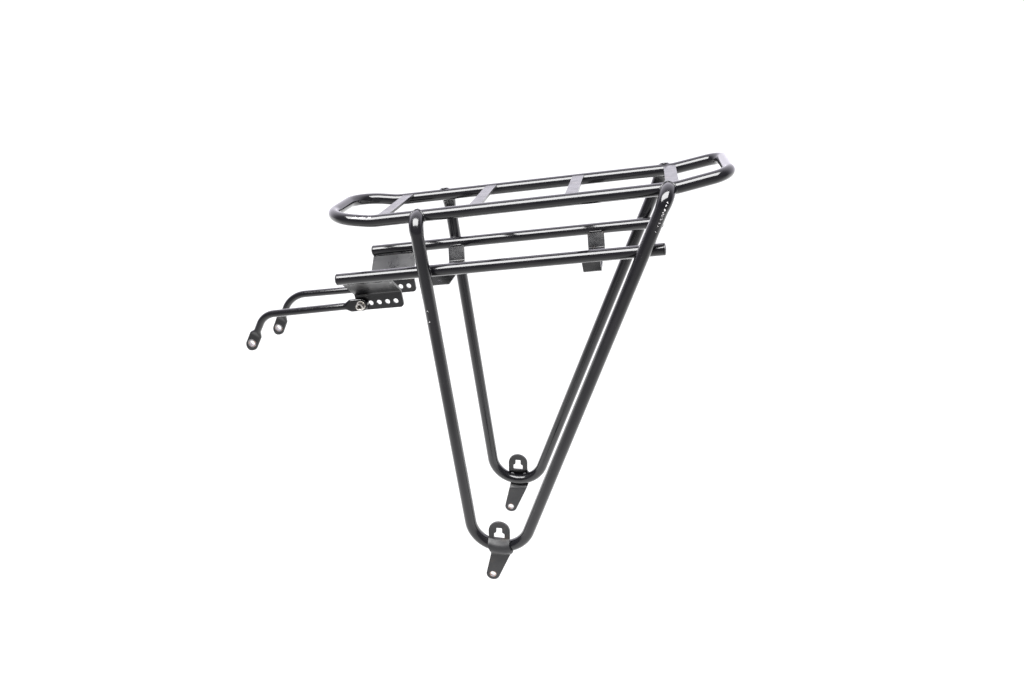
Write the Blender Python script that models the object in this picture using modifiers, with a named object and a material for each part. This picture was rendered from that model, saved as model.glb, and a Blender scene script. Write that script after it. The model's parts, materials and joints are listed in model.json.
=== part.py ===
"""Rear carrier of a city bicycle, with battery rails and two swivelling front stays.

The origin lies midway between the two drop-out eyelets. +X points to the rear of the
bicycle, +Y to its right side and +Z up, and the luggage deck is level.
"""

import bpy
import bmesh
from math import cos, hypot, pi, radians, sin, sqrt, tan
from mathutils import Matrix, Quaternion, Vector

MM = 0.001
GAP = 0.3 * MM                      # clearance between pieces that touch
LEFT = -1
RIGHT = 1
SIDE_NAMES = {LEFT: "left", RIGHT: "right"}

# Tubes
TUBE_RADIUS = 6.0 * MM              # deck and rails
INNER_RADIUS = 4.6 * MM
LEG_RADIUS = 6.5 * MM
LEG_INNER_RADIUS = 5.1 * MM
LEG_BORE_RADIUS = LEG_RADIUS + GAP
BORE_RADIUS = TUBE_RADIUS + GAP     # what a coped neighbour is cut back to
TUBE_BEVEL_RESOLUTION = 6           # 16 sides
ARC_STEP = radians(13)

# Deck loop, on the tube's centre line
DECK_HEIGHT = 420.0 * MM
FRONT_HALF_WIDTH = 48.0 * MM
REAR_HALF_WIDTH = 46.0 * MM
REAR_TIP_HALF_WIDTH = 43.5 * MM
FRONT_TIP_X = -110.0 * MM
FRONT_BEND_X = -63.8 * MM
REAR_BEND_X = 233.9 * MM
REAR_TIP_X = 282.4 * MM
FRONT_UPTURN = radians(9.8)
REAR_UPTURN = radians(8.7)
FRONT_CORNER_RADIUS = 31.0 * MM
REAR_CORNER_RADIUS = 17.0 * MM
UPTURN_RADIUS = 60.0 * MM

# Deck strips
STRIP_COUNT = 4
FIRST_STRIP_X = -50.0 * MM
STRIP_PITCH = 93.6 * MM
STRIP_WIDTH = 12.0 * MM
STRIP_THICKNESS = 2.5 * MM
STRIP_TOP = DECK_HEIGHT + 5.0 * MM

# Legs: each is one tube, from the deck down to a U-bend and up to the deck again
LEG_TOP_Y = 63.2 * MM
LEG_SPLAY = 0.0187                  # outward run for each unit of drop
FRONT_LEG_TOP_X = {LEFT: -13.4 * MM, RIGHT: -10.4 * MM}
FRONT_LEG_SLOPE = {LEFT: 0.001, RIGHT: 0.011}   # forward run for each unit of drop
REAR_LEG_TOP_X = {LEFT: 226.6 * MM, RIGHT: 225.8 * MM}
REAR_LEG_SLOPE = 0.4898
LEG_TOP_RADIUS = 14.0 * MM
LEG_U_RADIUS = {LEFT: 33.8 * MM, RIGHT: 32.8 * MM}

# Battery rails
RAIL_Y = 51.5 * MM
RAIL_HEIGHT = 364.5 * MM
RAIL_FRONT_X = {LEFT: -109.7 * MM, RIGHT: -105.3 * MM}
RAIL_REAR_X = 218.9 * MM
RAIL_SIDES = 24
PLUG_HEAD = 2.2 * MM
PLUG_STEM = 9.0 * MM

# Stay brackets
SHEET = 2.5 * MM
FLANGE_Y = 24.5 * MM
FLANGE_TOP = 338.8 * MM
FLANGE_BOTTOM = 320.3 * MM
BRACKET_FRONT_X = {LEFT: -107.8 * MM, RIGHT: -106.2 * MM}
BRACKET_REAR_X = -55.2 * MM
BRACKET_CORNER = 4.0 * MM
BRACKET_BEND_RADIUS = 4.0 * MM
BRACKET_TOP_Y = 50.5 * MM
BRACKET_TOP = 359.9 * MM
HOLE_COUNT = 5
HOLE_PITCH = 9.4 * MM
FIRST_HOLE_X = -63.2 * MM
HOLE_HEIGHT = 327.5 * MM
HOLE_RADIUS = 2.75 * MM

# Cross straps
STRAP_BOTTOM = 345.4 * MM           # middle of the sheet
STRAP_FLAT_Y = 38.5 * MM
STRAP_TOP_Y = 46.6 * MM
STRAP_TOP = 361.6 * MM
STRAP_WIDTH = 18.0 * MM
FRONT_STRAP_X = -7.0 * MM
REAR_STRAP_X = 149.0 * MM
GUSSET_REAR_X = 13.0 * MM
GUSSET_THICKNESS = 2.0 * MM
GUSSET_INSET = 0.5 * MM             # from the ends of the strap's wall
GUSSET_OVERHANG = 0.4 * MM          # past the strap's edge, at the foot of the wall
GUSSET_SLOPE_END = 0.75             # share of the wall where its sloping edge ends
WALL_SLOT_CENTRE = (-7.6 * MM, 6.2 * MM)    # X, and height up the wall
WALL_SLOT_HALF_LENGTH = 1.8 * MM
WALL_SLOT_RADIUS = 1.3 * MM
WALL_DOT_CENTRE = (1.0 * MM, 8.6 * MM)
WALL_DOT_RADIUS = 0.9 * MM
STRAP_BEND_RADIUS = 3.5 * MM

# Foot plates
EYELET_Y = 66.3 * MM
EYELET_RADIUS = 3.3 * MM
FOOT_RADIUS = 7.7 * MM
FOOT_FRONT_LEAN = radians(19.5)
FOOT_REAR_LEAN = radians(30.0)
FOOT_SHOULDER = 38.5 * MM
TAB_Y = 71.0 * MM
TAB_LEAN = radians(7.8)
TAB_HALF_WIDTH = 12.0 * MM
TAB_CENTRE = (17.5 * MM, 62.6 * MM)
TAB_LENGTH = 18.0 * MM
SADDLE_FRONT_X = 4.4 * MM
SADDLE_REAR_X = 29.0 * MM
SADDLE_REACH = 20.0 * MM            # of the region it is cut to, clear of its outside
SLOT_HALF_WIDTH = 6.0 * MM
SLOT_NECK_HALF_WIDTH = 3.3 * MM
SLOT_TOP = 4.6 * MM                 # these three are heights from the tab's centre
SLOT_SHOULDER = -1.4 * MM
SLOT_BOTTOM = -9.8 * MM

# Stays, bent a little differently on each side
STAY_RADIUS = 4.0 * MM
STAY_SIDES = 16
STAY_SLOPE = {LEFT: radians(1.0), RIGHT: 0.0}               # of the long arm, below level
STAY_DROP_ANGLE = {LEFT: radians(54.5), RIGHT: radians(57.0)}
STAY_BEND_RADIUS = {LEFT: 24.0 * MM, RIGHT: 34.0 * MM}
STAY_CORNER_X = {LEFT: -216.4 * MM, RIGHT: -209.5 * MM}     # the bend's virtual corner
STAY_TIP_HOLE_RUN = {LEFT: 39.1 * MM, RIGHT: 45.7 * MM}     # from that corner to the tip hole
STAY_BEND_STEPS = 6
STAY_END_RADIUS = 7.0 * MM
STAY_TIP_LENGTH = 9.5 * MM
STAY_FLAT_THICKNESS = 4.0 * MM
STAY_PIVOT_FLAT = 19.0 * MM         # length of the flattened stretch at each end
STAY_TIP_FLAT = 20.0 * MM
STAY_TAPER_LENGTH = 7.0 * MM
STAY_TIP_HOLE_RADIUS = 3.2 * MM

# Pivot fasteners, M5
BOLT_RADIUS = 2.5 * MM
BOLT_HOLE_RADIUS = 2.8 * MM
BOLT_HEAD_RADIUS = 4.25 * MM
BOLT_HEAD_HEIGHT = 5.0 * MM
SOCKET_RADIUS = 2.3 * MM
SOCKET_DEPTH = 2.6 * MM
WASHER_RADIUS = 5.0 * MM
WASHER_THICKNESS = 1.0 * MM
NUT_RADIUS = 4.6 * MM
NUT_THICKNESS = 4.5 * MM
BOLT_TAIL = 1.6 * MM

# Places of the stays and their fasteners, outboard of the bracket's flange
PIVOT_X = FIRST_HOLE_X - HOLE_PITCH * (HOLE_COUNT - 1)
STAY_INNER_Y = FLANGE_Y + SHEET / 2 + GAP
STAY_Y = STAY_INNER_Y + STAY_FLAT_THICKNESS / 2
WASHER_Y = STAY_INNER_Y + STAY_FLAT_THICKNESS + GAP
HEAD_Y = WASHER_Y + WASHER_THICKNESS + GAP
NUT_OUTER_Y = FLANGE_Y - SHEET / 2 - GAP

# Colour, roughness and metallic value of each finish
FINISHES = {
    "gloss_paint": ((0.012, 0.012, 0.014), 0.18, 0.0),
    "satin_paint": ((0.030, 0.030, 0.033), 0.42, 0.0),
    "stainless": ((0.62, 0.60, 0.56), 0.28, 1.0),
    "plastic": ((0.010, 0.010, 0.011), 0.30, 0.0),
}


# ---------------------------------------------------------------- scene helpers

def clear_scene():
    for old in list(bpy.data.objects):
        bpy.data.objects.remove(old)


def new_collection(name):
    collection = bpy.data.collections.new(name)
    bpy.context.scene.collection.children.link(collection)
    return collection


def make_finish(name, kind):
    color, roughness, metallic = FINISHES[kind]
    material = bpy.data.materials.new(name + "_finish")
    material.use_nodes = True
    shader = material.node_tree.nodes["Principled BSDF"]
    shader.inputs["Base Color"].default_value = (*color, 1.0)
    shader.inputs["Roughness"].default_value = roughness
    shader.inputs["Metallic"].default_value = metallic
    return material


def as_part(obj, kind, smooth=True):
    """Put an object in the parts' collection, with its finish and its shading."""
    for collection in list(obj.users_collection):
        collection.objects.unlink(obj)
    PARTS.objects.link(obj)
    obj.data.materials.clear()
    obj.data.materials.append(make_finish(obj.name, kind))
    if smooth and obj.type == "MESH":
        obj.data.shade_smooth()
        obj.data.set_sharp_from_angle(angle=radians(35))
    return obj


def as_cutter(obj):
    for collection in list(obj.users_collection):
        collection.objects.unlink(obj)
    CUTTERS.objects.link(obj)
    obj.hide_render = True
    obj.display_type = "WIRE"
    return obj


def new_object(name, data):
    obj = bpy.data.objects.new(name, data)
    bpy.context.scene.collection.objects.link(obj)
    return obj


def to_mesh(curve_object):
    """Replace a curve object by a closed mesh object of the same shape and place."""
    bpy.context.view_layer.update()
    graph = bpy.context.evaluated_depsgraph_get()
    mesh = bpy.data.meshes.new_from_object(curve_object.evaluated_get(graph))
    shape = bmesh.new()
    shape.from_mesh(mesh)
    bmesh.ops.remove_doubles(shape, verts=shape.verts, dist=1e-6)
    bmesh.ops.recalc_face_normals(shape, faces=shape.faces)
    shape.to_mesh(mesh)
    shape.free()
    name = curve_object.name
    place = curve_object.matrix_world.copy()
    bpy.data.objects.remove(curve_object)
    obj = new_object(name, mesh)
    obj.matrix_world = place
    return obj


def boolean(target, operand, operation):
    modifier = target.modifiers.new(operand.name, "BOOLEAN")
    modifier.operation = operation
    modifier.object = operand
    modifier.solver = "EXACT"


def cut(target, *cutters):
    for cutter in cutters:
        boolean(target, cutter, "DIFFERENCE")


# ---------------------------------------------------------------- shape helpers

def rounded_path(corners, radii, closed=False):
    """Points of a polyline whose corners are rounded by arcs of the given radii."""
    count = len(corners)
    points = []
    for index, corner in enumerate(corners):
        radius = radii[index]
        at_end = not closed and index in (0, count - 1)
        if at_end or radius == 0:
            points.append(Vector(corner))
            continue
        here = Vector(corner)
        back = (Vector(corners[index - 1]) - here).normalized()
        ahead = (Vector(corners[(index + 1) % count]) - here).normalized()
        turn = pi - back.angle(ahead)
        start = here + back * radius * tan(turn / 2)
        middle = here + (back + ahead).normalized() * radius / cos(turn / 2)
        axis = ahead.cross(back).normalized()
        steps = max(2, round(turn / ARC_STEP))
        for step in range(steps + 1):
            swing = Quaternion(axis, turn * step / steps)
            points.append(middle + swing @ (start - middle))
    return points


def curve_tube(name, points, radius, closed=False):
    curve = bpy.data.curves.new(name, "CURVE")
    curve.dimensions = "3D"
    curve.bevel_depth = radius
    curve.bevel_resolution = TUBE_BEVEL_RESOLUTION
    curve.use_fill_caps = not closed
    spline = curve.splines.new("POLY")
    spline.points.add(len(points) - 1)
    for target, point in zip(spline.points, points):
        target.co = (*point, 1.0)
    spline.use_cyclic_u = closed
    spline.use_smooth = True
    return new_object(name, curve)


def flat_plate(name, outlines, thickness, place):
    """A plate cut to 2D outlines (the first is its edge, the others are holes)."""
    curve = bpy.data.curves.new(name, "CURVE")
    curve.dimensions = "2D"
    curve.fill_mode = "BOTH"
    curve.extrude = thickness / 2
    for outline in outlines:
        spline = curve.splines.new("POLY")
        spline.points.add(len(outline) - 1)
        for target, (x, y) in zip(spline.points, outline):
            target.co = (x, y, 0.0, 1.0)
        spline.use_cyclic_u = True
    obj = new_object(name, curve)
    obj.matrix_world = place
    return to_mesh(obj)


def place_by(origin, x_axis, y_axis):
    x_axis = Vector(x_axis).normalized()
    y_axis = Vector(y_axis).normalized()
    z_axis = x_axis.cross(y_axis)
    place = Matrix((x_axis, y_axis, z_axis)).transposed().to_4x4()
    place.translation = Vector(origin)
    return place


def side_view(y):
    """Outline axes for a plate that stands across the Y axis: drawn in X and Z."""
    return place_by((0, y, 0), (1, 0, 0), (0, 0, 1))


def end_view(x):
    """Outline axes for a profile that runs along the X axis: drawn in Y and Z."""
    return place_by((x, 0, 0), (0, 1, 0), (0, 0, 1))


def arc(centre, radius, start, end, steps):
    turn = (end - start) / steps
    angles = [start + turn * step for step in range(steps + 1)]
    return [(centre[0] + radius * cos(a), centre[1] + radius * sin(a)) for a in angles]


def circle(centre, radius, sides=20):
    return arc(centre, radius, 0, 2 * pi * (sides - 1) / sides, sides - 1)


def strip_outline(points, thickness):
    """Edge of a bent sheet whose middle line runs through the given 2D points."""
    left = []
    right = []
    for index, point in enumerate(points):
        before = points[max(index - 1, 0)]
        after = points[min(index + 1, len(points) - 1)]
        run = (after[0] - before[0], after[1] - before[1])
        length = hypot(*run)
        normal = (-run[1] / length, run[0] / length)
        half = thickness / 2
        left.append((point[0] + normal[0] * half, point[1] + normal[1] * half))
        right.append((point[0] - normal[0] * half, point[1] - normal[1] * half))
    return left + right[::-1]


def bent_line(corners, radius):
    flat = rounded_path([(y, z, 0) for y, z in corners], [0] + [radius] * (len(corners) - 2) + [0])
    return [(point.x, point.y) for point in flat]


def rod_cutter(name, centre, radius, length, sides=20):
    """A cylinder along Y, for a hole."""
    shape = bmesh.new()
    bmesh.ops.create_cone(shape, cap_ends=True, segments=sides, radius1=radius,
                          radius2=radius, depth=length)
    mesh = bpy.data.meshes.new(name)
    shape.to_mesh(mesh)
    shape.free()
    obj = new_object(name, mesh)
    obj.location = centre
    obj.rotation_euler = (pi / 2, 0, 0)
    return as_cutter(obj)


def turned(name, profile, sides, closed_profile=False):
    """Revolve a profile of (radius, height) points, top to bottom, about its local Z."""
    mesh = bpy.data.meshes.new(name)
    edges = [(i, i + 1) for i in range(len(profile) - 1)]
    if closed_profile:
        edges.append((len(profile) - 1, 0))
    mesh.from_pydata([(r, 0, z) for r, z in profile], edges, [])
    obj = new_object(name, mesh)
    screw = obj.modifiers.new("turn", "SCREW")
    screw.axis = "Z"
    screw.angle = 2 * pi
    screw.steps = sides
    screw.render_steps = sides
    screw.use_merge_vertices = True
    screw.merge_threshold = 0.00001
    screw.use_smooth_shade = False
    return obj


# ---------------------------------------------------------------- deck and legs

def deck_path():
    front_rise = (FRONT_BEND_X - FRONT_TIP_X) * tan(FRONT_UPTURN)
    rear_rise = (REAR_TIP_X - REAR_BEND_X) * tan(REAR_UPTURN)
    front_z = DECK_HEIGHT + front_rise
    rear_z = DECK_HEIGHT + rear_rise
    right_side = [
        (FRONT_TIP_X, FRONT_HALF_WIDTH, front_z),
        (FRONT_BEND_X, FRONT_HALF_WIDTH, DECK_HEIGHT),
        (REAR_BEND_X, REAR_HALF_WIDTH, DECK_HEIGHT),
        (REAR_TIP_X, REAR_TIP_HALF_WIDTH, rear_z),
    ]
    left_side = [(x, -y, z) for x, y, z in reversed(right_side)]
    right_radii = [FRONT_CORNER_RADIUS, UPTURN_RADIUS, UPTURN_RADIUS, REAR_CORNER_RADIUS]
    radii = right_radii + right_radii[::-1]
    return rounded_path(right_side + left_side, radii, closed=True)


def deck_half_width(x):
    share = (x - FRONT_BEND_X) / (REAR_BEND_X - FRONT_BEND_X)
    return FRONT_HALF_WIDTH + (REAR_HALF_WIDTH - FRONT_HALF_WIDTH) * share


def make_deck_loop():
    as_part(curve_tube("deck_loop", deck_path(), TUBE_RADIUS, closed=True), "gloss_paint")


def deck_bore():
    return as_cutter(to_mesh(curve_tube("deck_bore", deck_path(), BORE_RADIUS, closed=True)))


def make_deck_strips(bore):
    for index in range(STRIP_COUNT):
        x = FIRST_STRIP_X + STRIP_PITCH * index
        reach = deck_half_width(x) - 1.0 * MM
        half = STRIP_WIDTH / 2
        outline = [(x - half, -reach), (x + half, -reach), (x + half, reach), (x - half, reach)]
        place = Matrix.Translation((0, 0, STRIP_TOP - STRIP_THICKNESS / 2))
        strip = flat_plate(f"deck_strip_{index + 1}", [outline], STRIP_THICKNESS, place)
        as_part(strip, "satin_paint", smooth=False)
        cut(strip, bore)


def leg_y(z):
    return LEG_TOP_Y + LEG_SPLAY * (DECK_HEIGHT - z)


def leg_path(side):
    """Centre line: out from the deck, down to the U-bend, and up and in again."""
    front_x = FRONT_LEG_TOP_X[side]
    rear_x = REAR_LEG_TOP_X[side]
    drop = (rear_x - front_x) / (REAR_LEG_SLOPE - FRONT_LEG_SLOPE[side])
    apex_x = rear_x - drop * REAR_LEG_SLOPE
    apex_z = DECK_HEIGHT - drop
    corners = [
        (front_x, side * deck_half_width(front_x), DECK_HEIGHT),
        (front_x, side * LEG_TOP_Y, DECK_HEIGHT),
        (apex_x, side * leg_y(apex_z), apex_z),
        (rear_x, side * LEG_TOP_Y, DECK_HEIGHT),
        (rear_x, side * deck_half_width(rear_x), DECK_HEIGHT),
    ]
    return rounded_path(corners, [0, LEG_TOP_RADIUS, LEG_U_RADIUS[side], LEG_TOP_RADIUS, 0])


def make_leg(side, bore):
    name = SIDE_NAMES[side] + "_leg"
    leg = to_mesh(curve_tube(name, leg_path(side), LEG_RADIUS))
    as_part(leg, "gloss_paint")
    hollow = as_cutter(to_mesh(curve_tube(name + "_hollow", leg_path(side), LEG_INNER_RADIUS)))
    cut(leg, bore, hollow)


# ---------------------------------------------------------------- rails

def along_x(obj, x, side, forward=False):
    """Lay a turned piece along the rail, its local +Z pointing to the rear or the front."""
    obj.location = (x, side * RAIL_Y, RAIL_HEIGHT)
    obj.rotation_euler = (0, -pi / 2 if forward else pi / 2, 0)
    return obj


def make_rail(side):
    length = RAIL_REAR_X - RAIL_FRONT_X[side]
    profile = [(TUBE_RADIUS, length), (TUBE_RADIUS, 0), (INNER_RADIUS, 0),
               (INNER_RADIUS, length)]
    rail = turned(SIDE_NAMES[side] + "_rail", profile, RAIL_SIDES, closed_profile=True)
    along_x(rail, RAIL_FRONT_X[side], side)
    as_part(rail, "gloss_paint")


def make_rail_plug(side, end):
    """A plug with a rounded head on the tube's end and a stem inside its bore."""
    stem = INNER_RADIUS - GAP
    edge = 1.0 * MM
    profile = [(0, PLUG_HEAD), (TUBE_RADIUS - edge, PLUG_HEAD),
               (TUBE_RADIUS - edge * 0.3, PLUG_HEAD - edge * 0.3),
               (TUBE_RADIUS, PLUG_HEAD - edge), (TUBE_RADIUS, 0), (stem, 0),
               (stem, -PLUG_STEM), (0, -PLUG_STEM)]
    plug = turned(f"{SIDE_NAMES[side]}_{end}_rail_plug", profile, RAIL_SIDES)
    at_front = end == "front"
    x = RAIL_FRONT_X[side] - GAP if at_front else RAIL_REAR_X + GAP
    along_x(plug, x, side, forward=at_front)
    as_part(plug, "plastic")


def rail_bore(side):
    """Room for a rail and its plugs' heads in the sheet pieces under it."""
    margin = PLUG_HEAD + 2 * GAP
    front = RAIL_FRONT_X[side] - margin
    length = RAIL_REAR_X + margin - front
    profile = [(0, length), (BORE_RADIUS, length), (BORE_RADIUS, 0), (0, 0)]
    bore = turned(SIDE_NAMES[side] + "_rail_bore", profile, RAIL_SIDES)
    return as_cutter(along_x(bore, front, side))


# ---------------------------------------------------------------- sheet pieces

def make_stay_bracket(side, bore):
    """A bent plate: a slope under the rail and an upright flange with a row of holes."""
    name = SIDE_NAMES[side] + "_stay_bracket"
    corners = [(side * BRACKET_TOP_Y, BRACKET_TOP), (side * FLANGE_Y, FLANGE_TOP),
               (side * FLANGE_Y, FLANGE_BOTTOM)]
    profile = strip_outline(bent_line(corners, BRACKET_BEND_RADIUS), SHEET)
    front_x = BRACKET_FRONT_X[side]
    length = BRACKET_REAR_X - front_x
    middle = front_x + length / 2
    bracket = flat_plate(name, [profile], length, end_view(middle))
    as_part(bracket, "satin_paint")

    r = BRACKET_CORNER
    low_front = arc((front_x + r, FLANGE_BOTTOM + r), r, pi, 1.5 * pi, 4)
    low_rear = arc((BRACKET_REAR_X - r, FLANGE_BOTTOM + r), r, 1.5 * pi, 2 * pi, 4)
    margin = 5 * MM
    top = BRACKET_TOP + margin
    outline = [(front_x - GAP, top)] + low_front + low_rear + [(BRACKET_REAR_X + GAP, top)]
    holes = [circle((FIRST_HOLE_X - HOLE_PITCH * i, HOLE_HEIGHT), HOLE_RADIUS, 16)
             for i in range(HOLE_COUNT)]
    depth = 2 * (BRACKET_TOP_Y - FLANGE_Y + margin)
    outline_solid = flat_plate(name + "_outline", [outline] + holes, depth,
                               side_view(side * (FLANGE_Y + BRACKET_TOP_Y) / 2))
    boolean(bracket, as_cutter(outline_solid), "INTERSECT")
    cut(bracket, bore)


def strap_wall(side):
    return [(side * STRAP_FLAT_Y, STRAP_BOTTOM), (side * STRAP_TOP_Y, STRAP_TOP)]


def make_cross_strap(name, x):
    left_wall = strap_wall(LEFT)
    right_wall = strap_wall(RIGHT)
    corners = [left_wall[1], left_wall[0], right_wall[0], right_wall[1]]
    profile = strip_outline(bent_line(corners, STRAP_BEND_RADIUS), SHEET)
    strap = flat_plate(name, [profile], STRAP_WIDTH, end_view(x))
    as_part(strap, "satin_paint")
    return strap


def add_gusset(strap):
    """Widen the front strap's left wall towards the rail, with a slot and a small hole."""
    wall = strap_wall(LEFT)
    slope = Vector((0, wall[1][0] - wall[0][0], wall[1][1] - wall[0][1]))
    start = FRONT_STRAP_X + STRAP_WIDTH / 2 - SHEET
    low_x = FRONT_STRAP_X + STRAP_WIDTH / 2 + GUSSET_OVERHANG
    low = GUSSET_INSET
    high = slope.length - GUSSET_INSET
    outline = [(start, low), (low_x, low), (GUSSET_REAR_X, high * GUSSET_SLOPE_END),
               (GUSSET_REAR_X, high), (start, high)]
    place = place_by((0, wall[0][0], wall[0][1]), (1, 0, 0), slope)
    gusset = flat_plate("front_strap_gusset", [outline], GUSSET_THICKNESS, place)
    boolean(strap, as_cutter(gusset), "UNION")
    slot_x, slot_height = WALL_SLOT_CENTRE
    rear_end = (slot_x + WALL_SLOT_HALF_LENGTH, slot_height)
    front_end = (slot_x - WALL_SLOT_HALF_LENGTH, slot_height)
    slot = arc(rear_end, WALL_SLOT_RADIUS, -pi / 2, pi / 2, 6)
    slot += arc(front_end, WALL_SLOT_RADIUS, pi / 2, 1.5 * pi, 6)
    dot = circle(WALL_DOT_CENTRE, WALL_DOT_RADIUS, 12)
    slot_cutter = flat_plate("front_strap_slot", [slot], 4 * SHEET, place)
    dot_cutter = flat_plate("front_strap_dot", [dot], 4 * SHEET, place)
    cut(strap, as_cutter(slot_cutter), as_cutter(dot_cutter))


# ---------------------------------------------------------------- foot plates

def lower_tab_outline():
    """A tapered tab, round below, with straight edges tangent to its round end."""
    front_angle = pi - FOOT_FRONT_LEAN
    rear_angle = 2 * pi - FOOT_REAR_LEAN
    round_end = arc((0, 0), FOOT_RADIUS, front_angle, rear_angle, 14)
    front_x, front_z = round_end[0]
    rear_x, rear_z = round_end[-1]
    return round_end + [
        (rear_x + (FOOT_SHOULDER - rear_z) * tan(FOOT_REAR_LEAN), FOOT_SHOULDER),
        (front_x + (FOOT_SHOULDER - front_z) * tan(FOOT_FRONT_LEAN), FOOT_SHOULDER),
    ]


def leaning(points):
    """Turn upper tab points, given about the tab's centre, to its lean."""
    c, s = cos(TAB_LEAN), sin(TAB_LEAN)
    x0, z0 = TAB_CENTRE
    return [(x0 + c * u + s * v, z0 - s * u + c * v) for u, v in points]


def upper_tab_outline():
    round_end = arc((0, 0), TAB_HALF_WIDTH, 0, pi, 14)
    foot = [(-TAB_HALF_WIDTH, -TAB_LENGTH), (TAB_HALF_WIDTH, -TAB_LENGTH)]
    return leaning(round_end + foot)


def keyhole_outline():
    n, w = SLOT_NECK_HALF_WIDTH, SLOT_HALF_WIDTH
    corner = 1.2 * MM
    return leaning([
        (n, SLOT_SHOULDER), (n, SLOT_TOP - corner), (n - corner, SLOT_TOP),
        (corner - n, SLOT_TOP), (-n, SLOT_TOP - corner), (-n, SLOT_SHOULDER),
        (-w, SLOT_SHOULDER - 1.5 * corner), (-w, SLOT_BOTTOM), (w, SLOT_BOTTOM),
        (w, SLOT_SHOULDER - 1.5 * corner),
    ])


def saddle(side):
    """The sleeve that wraps the outer half of the U-bend, as wide as the plate."""
    name = SIDE_NAMES[side] + "_saddle"
    path = leg_path(side)
    lowest = min(path, key=lambda point: point.z)
    sleeve = to_mesh(curve_tube(name, path, LEG_BORE_RADIUS + SHEET))
    inner_top = side * (TAB_Y - SHEET / 2)
    inner_low = side * (EYELET_Y - SHEET / 2)
    outer = lowest.y + side * SADDLE_REACH
    top = lowest.z + SADDLE_REACH
    bottom = lowest.z - SADDLE_REACH
    region = [(outer, bottom), (inner_low, bottom), (inner_low, lowest.z),
              (inner_top, lowest.z), (inner_top, top), (outer, top)]
    middle = (SADDLE_FRONT_X + SADDLE_REAR_X) / 2
    block = flat_plate(name + "_region", [region], SADDLE_REAR_X - SADDLE_FRONT_X, end_view(middle))
    boolean(sleeve, as_cutter(block), "INTERSECT")
    return as_cutter(sleeve)


def make_foot_plate(side):
    name = SIDE_NAMES[side] + "_foot_plate"
    outlines = [lower_tab_outline(), circle((0, 0), EYELET_RADIUS)]
    plate = flat_plate(name, outlines, SHEET, side_view(side * EYELET_Y))
    as_part(plate, "satin_paint")
    upper = flat_plate(name + "_upper", [upper_tab_outline(), keyhole_outline()], SHEET,
                       side_view(side * TAB_Y))
    boolean(plate, as_cutter(upper), "UNION")
    boolean(plate, saddle(side), "UNION")
    leg_bore = to_mesh(curve_tube(name + "_leg_bore", leg_path(side), LEG_BORE_RADIUS))
    cut(plate, as_cutter(leg_bore))


# ---------------------------------------------------------------- stays

def below_level(angle):
    """Direction that points forward and down by an angle."""
    return Vector((-cos(angle), 0, -sin(angle)))


def stay_line(side):
    """Middle line of a stay in X and Z, from its pivot end to its tip."""
    along = below_level(STAY_SLOPE[side])
    pivot = Vector((PIVOT_X, 0, HOLE_HEIGHT))
    start = pivot - along * STAY_END_RADIUS
    corner = pivot + along * (PIVOT_X - STAY_CORNER_X[side]) / cos(STAY_SLOPE[side])
    down = below_level(STAY_DROP_ANGLE[side])
    end = corner + down * (STAY_TIP_HOLE_RUN[side] + STAY_TIP_LENGTH)
    return rounded_path([start, corner, end], [0, STAY_BEND_RADIUS[side], 0])


def sample_line(points, distance):
    """Point and direction at a distance along a polyline."""
    for first, second in zip(points, points[1:]):
        step = (second - first).length
        if distance <= step or second is points[-1]:
            direction = (second - first).normalized()
            return first + direction * distance, direction
        distance -= step


def flatness(from_end, flat_length):
    """1 on a flattened end, 0 on the round tube, and a smooth ramp between."""
    ramp = (from_end - flat_length) / STAY_TAPER_LENGTH
    ramp = min(max(ramp, 0.0), 1.0)
    return 1 - ramp * ramp * (3 - 2 * ramp)


def end_stations(flat_length):
    """Distances from a stay's end for its rounded edge, its flat and its taper."""
    rounding = [STAY_END_RADIUS * (1 - sin(radians(angle))) for angle in (78, 60, 40, 20, 0)]
    taper = [flat_length + STAY_TAPER_LENGTH * step / 4 for step in range(5)]
    return rounding + taper


def stay_stations(side, length, points):
    """Distances at which a stay has a cross-section: dense at its ends and its bend."""
    pivot_end = end_stations(STAY_PIVOT_FLAT)
    tip_end = [length - distance for distance in reversed(end_stations(STAY_TIP_FLAT))]
    bend_start = (points[1] - points[0]).length
    bend_step = STAY_BEND_RADIUS[side] * (STAY_DROP_ANGLE[side] - STAY_SLOPE[side]) / STAY_BEND_STEPS
    bend = [bend_start + bend_step * step for step in range(STAY_BEND_STEPS + 1)]
    return pivot_end + bend + tip_end


def stay_section(flat, narrow):
    """Points of a cross-section: round where flat is 0, flat-sided where it is 1."""
    edge = STAY_FLAT_THICKNESS / 2 / cos(pi / STAY_SIDES)
    radius = STAY_RADIUS + (edge - STAY_RADIUS) * flat
    straight = (STAY_END_RADIUS - edge) * flat
    points = []
    for k in range(STAY_SIDES):
        angle = 2 * pi * (k + 0.5) / STAY_SIDES
        height = straight * (1 if cos(angle) > 0 else -1) + radius * cos(angle)
        points.append((height * narrow, radius * sin(angle)))
    return points


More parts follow.
